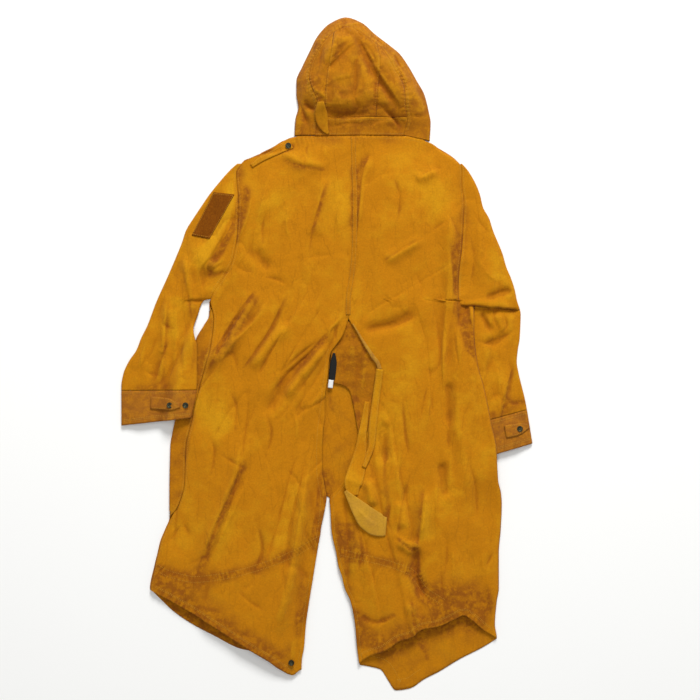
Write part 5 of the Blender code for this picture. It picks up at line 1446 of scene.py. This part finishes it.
def makeHood():
    makeHoodRim()
    cell = hoodShape["cell"]
    gap = hoodPanels["gap"]
    low = hoodPanels["panelEnd"]
    onBand = levelEnd(hoodPanels["bandTop"] + gap)
    sides = stationsFrom(hoodPanels["sideTop"], low, cell)
    for name, left, right, top, bottom, columns, stations, upperRows, lowerRows in (
            ("hood_left", lambda y: straight(rimSeam(0, 4.2, True), y) + 2.0 * gap,
             lambda y: follow(hoodSeamLeft, y) - gap,
             lambda x: straight(rimSeam(3.8, 8.2, False), x) - gap, onBand, 19, sides, 34, 6),
            ("hood_centre", lambda y: follow(hoodSeamLeft, y) + gap, lambda y: follow(hoodSeamRight, y) - gap,
             lambda x: straight(rimSeam(6.8, 12.2, False), x) - gap, onBand,
             42, stationsFrom(hoodPanels["centreTop"], low, cell), 18, 6),
            ("hood_right", lambda y: follow(hoodSeamRight, y) + gap,
             lambda y: straight(rimSeam(14.8, 19, True), y) - gap,
             lambda x: straight(rimSeam(10.8, 15.2, False), x) - gap, onBand, 24, sides, 34, 6),
            ("hood_neck_band", lambda y: straight(rimSeam(0, 2, True), y) + gap,
             lambda y: straight(rimSeam(17, 19, True), y) - gap, levelEnd(hoodPanels["bandTop"] - gap),
             levelEnd(hoodShape["neckSeam"]), 76, stationsFrom(*hoodPanels["bandRows"], cell), 2, 2)):
        places = panelPoints(between(left, right), top, bottom, np.linspace(0.0, 1.0, columns), stations,
                             upperRows, lowerRows)
        canvasPiece(name, laid(places, hoodOver), hoodWearAndShade, hoodFade, hoodPanels["wearAndShade"])
    print("hood made")


# Small pieces that lie on the panels

def layOn(names, places, wall, air=0.4):
    # points moved out from what lies beneath by the wall and a little air
    points = np.zeros((*places.shape[:2], 3))
    for row in range(places.shape[0]):
        for column in range(places.shape[1]):
            # three rays side by side, so that a seam's gap doesn't let one fall through
            x, y = places[row, column]
            found = [topAt(names, x + step, y) for step in (-0.6, 0.0, 0.6)]
            height, facing = max(found, key=lambda hit: hit[0])
            points[row, column] = (x, y, height + (air + wall) / max(facing.z, 0.5))
    return points


def bridged(points, share):
    # a strap spans hollows: each row is about level across, and no lower than the rows beside it allow
    highest = points[:, :, 2].max(axis=1)
    for _ in range(24):
        nextTo = 0.5 * (np.roll(highest, 1) + np.roll(highest, -1))
        nextTo[0] = highest[0]
        nextTo[-1] = highest[-1]
        highest = np.maximum(highest, nextTo)
    points[:, :, 2] = mix(points[:, :, 2], highest[:, None], share)
    return points


def band(route, widths, cell=3.0):
    # flat strip of places along a route
    line = routeOf(route, cell)
    side = leftOf(line)
    wide = np.interp(np.linspace(0.0, 1.0, len(line)), np.linspace(0.0, 1.0, len(widths)), widths)
    shares = np.linspace(0.5, -0.5, max(4, int(max(widths) / 2.4)) + 1)
    return line[:, None, :] + side[:, None, :] * (wide[:, None] * shares[None, :])[:, :, None]


def edgeRound(points, depth):
    # the folded edges of a strap or tab turn down a little
    place = np.abs(np.linspace(-1.0, 1.0, points.shape[1]))
    points[:, :, 2] -= depth * smooth((place - 0.72) / 0.28)[None, :]
    return points


ventShape = {
    "top": 56.4, "bottom": -171.2, "cell": 3.4, "columns": 30,      # piece under the vent
    # the underlap's base wear is a painted shade, as it lies in the shade under the backs
    "underBack": 3.6, "sag": 4.0, "sagReach": 60.0, "lowest": 4.2, "clear": 0.8, "wearAndShade": 0.6,
    "tapeTop": 445.9, "tapeBottom": 81.0, "tapeWidth": 9.0, "tapeWall": 0.8, "tapeWear": 0.45,
    "facingWidths": (1.6, 3.0, 6.0, 8.0, 8.0), "facingBottom": -31.0, "facingWall": 0.9,
}


def makeUnderlap():
    shape = ventShape
    across = between(lambda y: straight(underlapLeft, y), lambda y: straight(underlapRight, y))
    stations = stationsFrom(shape["top"] + 8.0, shape["bottom"] + 3.0, shape["cell"])
    x, y = panelPoints(across, levelEnd(shape["top"] + 12.0), levelEnd(shape["bottom"]),
                       np.linspace(0.0, 1.0, shape["columns"]), stations, 1, 1)
    edge = follow(ventRight, y)
    free = bodyOver(edge, y) - shape["underBack"] - shape["sag"] * smooth((edge - x) / shape["sagReach"])
    free = np.maximum(free + creased(x, y, ventCreases), shape["lowest"])
    height = free.copy()
    for spot in np.ndindex(x.shape):
        roof = underAt(("back_left", "back_right"), x[spot], y[spot])
        if roof is not None:
            height[spot] = min(roof - shape["clear"], free[spot] + 1.0)
    canvasPiece("vent_underlap", np.dstack((x, y, height)), ventShade, (), shape["wearAndShade"])


def makeVent():
    shape = ventShape
    makeUnderlap()
    ys = stationsFrom(shape["tapeTop"], shape["tapeBottom"], 3.0)
    half = shape["tapeWidth"] / 2.0
    sides = np.array((-1.0, -0.82, -0.6, -0.3, 0.0, 0.3, 0.6, 0.82, 1.0)) * half
    middle = follow(centreBack, ys)
    places = np.dstack((middle[:, None] + sides, np.repeat(ys[:, None], len(sides), axis=1)))
    points = layOn(("back_left", "back_right"), places, shape["tapeWall"], 0.3)
    points[:, :, 2] -= 0.5 * (np.abs(sides) > 0.9 * half)
    clothPiece("centre_back_tape", points, canvas, shape["tapeWear"],
               wall=shape["tapeWall"])
    ys = np.linspace(bodyShape["ventTop"] - 8.0, shape["facingBottom"], 8)
    widths = shape["facingWidths"]
    wide = np.interp(np.linspace(0.0, 1.0, len(ys)), np.linspace(0.0, 1.0, len(widths)), widths)
    facing = [(float(follow(ventRight, y)) + 0.5 * width + 2.0, y) for y, width in zip(ys, wide)]
    points = edgeRound(layOn(("back_right",), band(facing, widths), shape["facingWall"], 0.3), 0.5)
    clothPiece("vent_facing", points, canvasInside, 1.0, wall=shape["facingWall"])
    print("vent made")


# Straps and tabs: route as rows of (x, y), widths along it, how far it spans hollows, how far its edges
# turn down, and how worn and faded it is
straps = {
    "vent_strap_loop": {
        "route": ((83, -97), (78, -134), (73, -166), (69, -203), (63, -232), (57, -254), (53, -270),
                  (55, -290)),
        "widths": (9.0, 12.0, 15.0, 19.0, 28.0, 35.0, 38.0, 18.0),
        "span": 0.9, "turn": 0.7, "wearAndShade": 0.15, "fadeAndHighlight": 0.3,
    },
    "vent_strap_upper": {
        "route": ((109, -30), (105, -63), (101, -93), (95, -145), (92, -186), (84, -212), (76, -232)),
        "widths": (14.0, 15.0, 15.0, 17.0, 16.0, 12.0, 8.0),
        "span": 0.9, "turn": 0.7, "wearAndShade": 0.2, "fadeAndHighlight": 0.4,
    },
    "vent_strap_end": {
        "route": ((38, -280), (54, -300), (73, -323), (87, -338), (112, -352), (122, -353)),
        "widths": (5.0, 20.0, 34.0, 46.0, 49.0, 38.0),
        "span": 0.9, "turn": 0.7, "wearAndShade": 0.45, "fadeAndHighlight": 0.2,
    },
    "epaulette_left": {
        "route": ((-73, 432), (-104, 417), (-133, 403), (-155, 388)), "widths": (17.0, 14.0, 12.0, 8.0),
        "span": 0.0, "turn": 0.7, "wearAndShade": 0.2, "fadeAndHighlight": 0.2,
    },
    "cuff_tab_left": {
        "route": ((-362, -99), (-332, -101), (-309, -104), (-299, -104)), "widths": (26.0, 26.0, 24.0, 8.0),
        "span": 0.5, "turn": 0.6, "wearAndShade": 0.4, "fadeAndHighlight": 0.0,
    },
    "cuff_tab_right": {
        "route": ((367, -159), (388, -155), (408, -149), (417, -147)), "widths": (26.0, 26.0, 22.0, 8.0),
        "span": 0.5, "turn": 0.6, "wearAndShade": 0.4, "fadeAndHighlight": 0.0,
    },
    "hood_flap_left": {
        "route": ((-12, 515), (-12, 501), (-11, 487), (-7, 470), (-2, 460), (3, 453)),
        "widths": (12.0, 21.0, 27.0, 23.0, 15.0, 3.0),
        "span": 0.3, "turn": 0.6, "wearAndShade": 0.3, "fadeAndHighlight": 0.4,
    },
}
trims = {
    "wall": 1.1, "labelWall": 0.9,
    "patchCorners": ((-233, 334), (-190, 329), (-241, 238), (-278, 245)),
    "labelRoute": ((15, 3), (14, -15), (12, -34), (10, -52)), "labelWidths": (4.0, 13.0, 14.0, 13.0),
    "tagRoute": ((9, -52.4), (8, -60), (7, -69)), "tagWidth": 10.0,
}
patchCorners = np.array(trims["patchCorners"], dtype=float)


def makeStrap(name, under, finish, creases=()):
    shape = straps[name]
    wall = trims["wall"]
    points = bridged(layOn(under, band(shape["route"], shape["widths"]), wall), shape["span"])
    points[:, :, 2] += creased(points[:, :, 0], points[:, :, 1], creases)
    clothPiece(name, edgeRound(points, shape["turn"]), finish, shape["wearAndShade"], shape["fadeAndHighlight"], wall)


def makeStraps():
    under = ("back_right", "vent_underlap", "front_right", "vent_facing")
    makeStrap("vent_strap_loop", under, canvas, strapCreases)
    under = (*under, "vent_strap_loop")
    makeStrap("vent_strap_upper", under, canvas)
    makeStrap("vent_strap_end", under, canvasInside, strapCreases)
    print("strap made")


def makeTrims():
    makeStrap("epaulette_left", ("back_left",), canvas)
    corners = patchCorners
    downs = np.linspace(0.0, 1.0, 36)[:, None, None]
    overs = np.linspace(0.0, 1.0, 24)[None, :, None]
    places = mix(mix(corners[0], corners[3], downs), mix(corners[1], corners[2], downs), overs)
    points = layOn(("sleeve_left",), places, trims["wall"])
    clothPiece("sleeve_loop_patch", points, loopPile, wall=trims["wall"])
    for side in ("left", "right"):
        makeStrap("cuff_tab_" + side, ("cuff_" + side,), canvasWorn)
    under = ("hood_rim", "hood_left", "hood_centre", "hood_neck_band")
    makeStrap("hood_flap_left", under, canvas)
    wall = trims["labelWall"]
    places = band(trims["labelRoute"], trims["labelWidths"], 2.4)
    points = bridged(layOn(("vent_underlap", "front_right"), places, wall), 1.0)
    points[:, :, 2] -= 0.5 * np.abs(np.linspace(-1.0, 1.0, points.shape[1]))[None, :] ** 6
    clothPiece("label_loop", points, blackTape, wall=wall)
    places = band(trims["tagRoute"], (trims["tagWidth"],), 2.0)
    height = np.full((*places.shape[:2], 1), points[-1, :, 2].max())
    clothPiece("label_tag", np.concatenate((places, height), axis=2), whiteTape, wall=wall)
    print("trims made")


# Snaps and zip

def insetTop(piece, steps):
    # the top face is inset in steps of (inset, drop)
    for face in piece.data.polygons:
        face.select = face.normal.z > 0.9
    for edge in piece.data.edges:
        edge.select = False
    chosen = {index for face in piece.data.polygons if face.select for index in face.vertices}
    for vertex in piece.data.vertices:
        vertex.select = vertex.index in chosen
    bpy.ops.object.mode_set(mode="EDIT")
    bpy.ops.mesh.select_mode(type="FACE")
    for inset, drop in steps:
        bpy.ops.mesh.inset(thickness=inset * mm, depth=-drop * mm)
    bpy.ops.object.mode_set(mode="OBJECT")


def bevelled(piece, width, segments):
    edge = piece.modifiers.new("edge", "BEVEL")
    edge.width = width * mm
    edge.segments = segments
    edge.limit_method = "ANGLE"
    applyModifiers(piece)


def placeOf(name):
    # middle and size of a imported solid
    low, high = [Vector(corner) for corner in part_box(name)]
    return 0.5 * (low + high), high - low


snapSteps = ((0.9, 0.0), (0.35, 0.7), (1.5, 0.0), (0.4, 0.45))      # rim, wall of the dish, its floor, dimple


def makeSnap(name):
    # pressed cap: a rolled rim round a shallow dish with a dimple
    middle, size = placeOf(name)
    lone()
    bpy.ops.mesh.primitive_cylinder_add(vertices=32, radius=0.5 * size[0], depth=size[2], location=middle)
    snap = named(bpy.context.object, name + "_cap")
    insetTop(snap, snapSteps)
    bevelled(snap, 0.22, 2)
    bpy.ops.object.transform_apply(location=True, rotation=True, scale=True)
    bpy.ops.object.shade_smooth_by_angle(angle=0.6)
    finished(snap, snapMetal, name)


def joined(pieces, name, finish):
    lone()
    for piece in pieces:
        piece.select_set(True)
    bpy.context.view_layer.objects.active = pieces[0]
    bpy.ops.object.join()
    bpy.ops.object.transform_apply(location=True, rotation=True, scale=True)
    whole = named(bpy.context.object, name)
    whole.data.shade_smooth()
    return finished(whole, finish)


def copyAt(model, place):
    copy = model.copy()
    copy.data = model.data.copy()
    copy.matrix_world = place
    bpy.context.scene.collection.objects.link(copy)
    return copy


zipShape = {
    "width": 7.0, "top": 441.9, "bottom": -286.2, "wall": 0.8, "pitch": 2.6,
    "tooth": (2.4, 1.1, 1.0), "toothHeight": 1.7, "toothSide": 0.8, "firstTooth": 22.0, "lastTooth": 2.0,
    "sliderInset": ((1.6, 0.5),),
}


def makeZip():
    shape = zipShape
    ys = stationsFrom(shape["top"], shape["bottom"], 6.0)
    sides = np.array((-1.0, -0.45, -0.3, 0.0, 0.3, 0.45, 1.0)) * shape["width"] / 2.0
    x = follow(centreFront, ys)[:, None] + sides
    y = np.repeat(ys[:, None], len(sides), axis=1)
    height = np.where(np.abs(sides) < 0.4 * shape["width"] / 2.0, 0.9, 1.3)
    points = np.dstack((x, y, np.broadcast_to(height, x.shape)))
    clothPiece("zip_tape", points, zipCloth, wall=shape["wall"])
    lone()
    bpy.ops.mesh.primitive_cube_add(size=1.0, scale=Vector(shape["tooth"]) * mm)
    tooth = bpy.context.object
    bpy.ops.object.transform_apply(location=False, rotation=False, scale=True)
    bevelled(tooth, 0.25, 1)
    copies = []
    room = shape["top"] - shape["bottom"] - shape["firstTooth"] - shape["lastTooth"]
    for number in range(int(room / shape["pitch"])):
        at = shape["bottom"] + shape["firstTooth"] + number * shape["pitch"]
        side = shape["toothSide"] if number % 2 else -shape["toothSide"]
        place = Vector((float(follow(centreFront, at)) + side, at, shape["toothHeight"])) * mm
        copies.append(copyAt(tooth, Matrix.Translation(place)))
    bpy.data.objects.remove(tooth, do_unlink=True)
    joined(copies, "zip_teeth", zipMetal)
    middle, size = placeOf("zip_slider")
    lone()
    bpy.ops.mesh.primitive_cube_add(size=1.0, location=middle, scale=size)
    slider = named(bpy.context.object, "zip_slider_body")
    bpy.ops.object.transform_apply(location=True, rotation=True, scale=True)
    insetTop(slider, shape["sliderInset"])
    bevelled(slider, 0.7, 3)
    bpy.ops.object.shade_smooth_by_angle(angle=0.6)
    finished(slider, zipMetal, "zip_slider")
    print("zip made")


# Stitching

stitching = {"pitch": 3.6, "length": 2.7, "width": 0.85, "height": 0.6, "lift": 0.05, "inset": 2.6}


def stitchModel():
    lone()
    bpy.ops.mesh.primitive_uv_sphere_add(segments=6, ring_count=4, radius=0.5)
    model = bpy.context.object
    model.rotation_euler = (0.0, np.pi / 2.0, 0.0)
    bpy.ops.object.transform_apply(location=False, rotation=True, scale=False)
    model.scale = Vector((stitching["length"], stitching["width"], stitching["height"])) * mm
    bpy.ops.object.transform_apply(location=False, rotation=False, scale=True)
    return model


def sewn(model, name, routes, under):
    # small raised stitches along each route, on top of what is there
    copies = []
    for route in routes:
        line = routeOf(route, stitching["pitch"])
        for start, end in zip(line[:-1], line[1:]):
            x, y = 0.5 * (start + end)
            height, facing = topAt(under, x, y)
            if height <= 0.0 or facing.z < 0.3:
                continue
            way = Vector((*(end - start), 0.0)).normalized()
            way = (way - facing * way.dot(facing)).normalized()
            turn = Matrix((way, facing.cross(way), facing)).transposed().to_4x4()
            place = Matrix.Translation(Vector((x, y, height + stitching["lift"])) * mm) @ turn
            copies.append(copyAt(model, place))
    return joined(copies, name, thread)


def beside(route, shift, first=0.0, last=1.0):
    # the same route, moved to the left of its way, from one share of its length to another
    line = routeOf(route, 6.0)
    moved = line + shift * leftOf(line)
    start = int(round(first * (len(moved) - 1)))
    return moved[start:int(round(last * (len(moved) - 1))) + 1]


def turned(table):
    # rows of (y, x) as (x, y)
    return [(x, y) for y, x in table]


def bandSides(name):
    places = band(straps[name]["route"], straps[name]["widths"])
    left = places[:, 0]
    right = places[:, -1]
    wide = np.linalg.norm(right - left, axis=1)[:, None]
    share = np.minimum(stitching["inset"] / np.maximum(wide, 1.0), 0.5)
    return (mix(left, right, share)[1:-1], mix(right, left, share)[1:-1])


def patchSides():
    inner = [tuple(mix(corner, patchCorners.mean(axis=0), 0.06)) for corner in patchCorners]
    return [(inner[number], inner[(number + 1) % 4]) for number in range(4)]


def makeStitches():
    seam = turned(centreBack)
    tape = ventShape["tapeWidth"] / 2.0 - 0.9
    leftCord = bodyGathers[0][0]
    rightCord = bodyGathers[1][0]
    rows = (
        # the piece that carries them, their own name, their routes, other pieces under them
        ("centre_back_tape", "centre_back", (beside(seam, tape), beside(seam, -tape)), ()),
        ("back_left", "back_left", (
            beside(hemBackLeft, 11.0, 0.02, 0.98), beside(hemBackLeft, 13.5, 0.02, 0.98),
            beside(turned(ventLeft), -7.0, 0.1, 0.96), beside(turned(armholeLeft), 4.0, 0.05, 0.97),
            beside(turned(sideSeamLeft), 4.0, 0.02, 0.8), beside(leftCord, 6.0), beside(leftCord, -6.0),
            beside(shoulderLeft, -5.0, 0.55, 0.98)), ()),
        ("back_right", "back_right", (
            beside(hemBackRight, 11.0, 0.02, 0.98), beside(hemBackRight, 13.5, 0.02, 0.98),
            beside(turned(ventRight), 7.0, 0.16, 0.96), beside(turned(armholeRight), -4.0, 0.05, 0.97),
            beside(rightCord, 6.0), beside(rightCord, -6.0), beside(shoulderRight, -5.0, 0.02, 0.6)), ()),
        ("front_left", "front_left", (beside(turned(sideSeamLeft), -3.5, 0.03, 0.72),), ()),
        ("front_right", "front_right", (beside(hemFrontRight, 22.0, 0.03, 0.5),),
         ("back_left", "back_right")),
        ("sleeve_left", "sleeve_left", (beside(turned(armholeLeft), -3.5, 0.05, 0.97),), ()),
        ("sleeve_right_upper", "sleeve_right", (beside(turned(armholeRight), 3.5, 0.05, 0.97),), ()),
        ("cuff_left", "cuff_left", (
            ((-274, -79), (-350, -79), (-420, -80)), ((-279, -120), (-350, -126), (-419, -135)),
            ((-279, -123), (-350, -129), (-419, -138))), ()),
        ("cuff_right", "cuff_right", (
            ((330, -144), (370, -133), (414, -121)), ((330, -198), (370, -186), (423, -171)),
            ((330, -201), (370, -189), (423, -174))), ()),
        ("cuff_tab_left", "cuff_tab_left", bandSides("cuff_tab_left"), ()),
        ("cuff_tab_right", "cuff_tab_right", bandSides("cuff_tab_right"), ()),
        ("epaulette_left", "epaulette", bandSides("epaulette_left"), ()),
        ("vent_strap_loop", "strap_loop", bandSides("vent_strap_loop"),
         ("vent_strap_upper", "vent_strap_end")),
        ("vent_strap_upper", "strap_upper", bandSides("vent_strap_upper"), ()),
        ("vent_strap_end", "strap_end", bandSides("vent_strap_end"), ()),
        ("hood_rim", "hood_rim", (
            beside(casingSeam, 3.2, 0.02, 0.98), beside(casingSeam, 5.6, 0.02, 0.98)), ()),
        ("hood_centre", "hood", (
            beside(turned(hoodSeamLeft), 3.0, 0.06, 0.75), beside(turned(hoodSeamRight), -3.0, 0.06, 0.75),
            beside(casingSeam, -3.0, 0.1, 0.9)), ("hood_left", "hood_right")),
        ("hood_neck_band", "neck_band", (
            ((-50, 481), (60, 481), (200, 481)), ((-55, 454), (60, 454), (205, 454))), ()),
        ("sleeve_loop_patch", "patch", patchSides(), ()),
    )
    model = stitchModel()
    sewing = {piece: sewn(model, "stitches_" + name, routes, (piece, *others))
              for piece, name, routes, others in rows}
    bpy.data.objects.remove(model, do_unlink=True)
    print("stitches made")
    return sewing


# Floor, light and camera

studio = {
    "floor": "#F4F4F2", "floorSize": 7.0, "floorDrop": 0.0002,
    "keyPlace": (0.9, 5.0, 3.6), "keySize": 2.0, "keyPower": 390.0,
    "fillPlace": (0.0, 0.1, 3.6), "fillSize": 3.2, "fillPower": 50.0,
    "skyColour": "#FFFFFF", "skyStrength": 0.3,
    "cameraPlace": (0.0477, 0.0092, 2.6), "lens": 64.7, "sensor": 36.0,
}


def areaLight(name):
    # aimed at the middle of the floor
    place = studio[name + "Place"]
    lone()
    bpy.ops.object.light_add(type="AREA", location=place)
    lamp = named(bpy.context.object, name + "_light")
    lamp.data.size = studio[name + "Size"]
    lamp.data.energy = studio[name + "Power"]
    lamp.rotation_euler = (-Vector(place)).to_track_quat("-Z", "Y").to_euler()


def makeStudio():
    lone()
    bpy.ops.mesh.primitive_plane_add(size=studio["floorSize"], location=(0.0, 0.0, -studio["floorDrop"]))
    floor = named(bpy.context.object, "floor")
    made, _, shader = newFinish("pale_matt_floor", 0.9, reflection=0.1)
    shader.inputs["Base Color"].default_value = colour(studio["floor"])
    floor.data.materials.append(made)
    areaLight("key")
    areaLight("fill")
    sky = bpy.data.worlds.new("pale_sky")
    sky.use_nodes = True
    ground = sky.node_tree.nodes["Background"]
    ground.inputs["Color"].default_value = colour(studio["skyColour"])
    ground.inputs["Strength"].default_value = studio["skyStrength"]
    bpy.context.scene.world = sky
    bpy.context.scene.view_settings.view_transform = "Standard"
    lone()
    bpy.ops.object.camera_add(location=studio["cameraPlace"], rotation=(0.0, 0.0, 0.0))
    camera = named(bpy.context.object, "camera")
    camera.data.lens = studio["lens"]
    camera.data.sensor_width = studio["sensor"]
    bpy.context.scene.camera = camera
    print("studio made")


makeBacks()
makeFronts()
makeSleeves()
makeHood()
makeVent()
makeStraps()
makeTrims()
for snap in ("cuff_left_tab", "cuff_left", "cuff_right", "epaulette", "tail_left"):
    makeSnap("snap_" + snap)
makeZip()
makeStitches()
makeStudio()
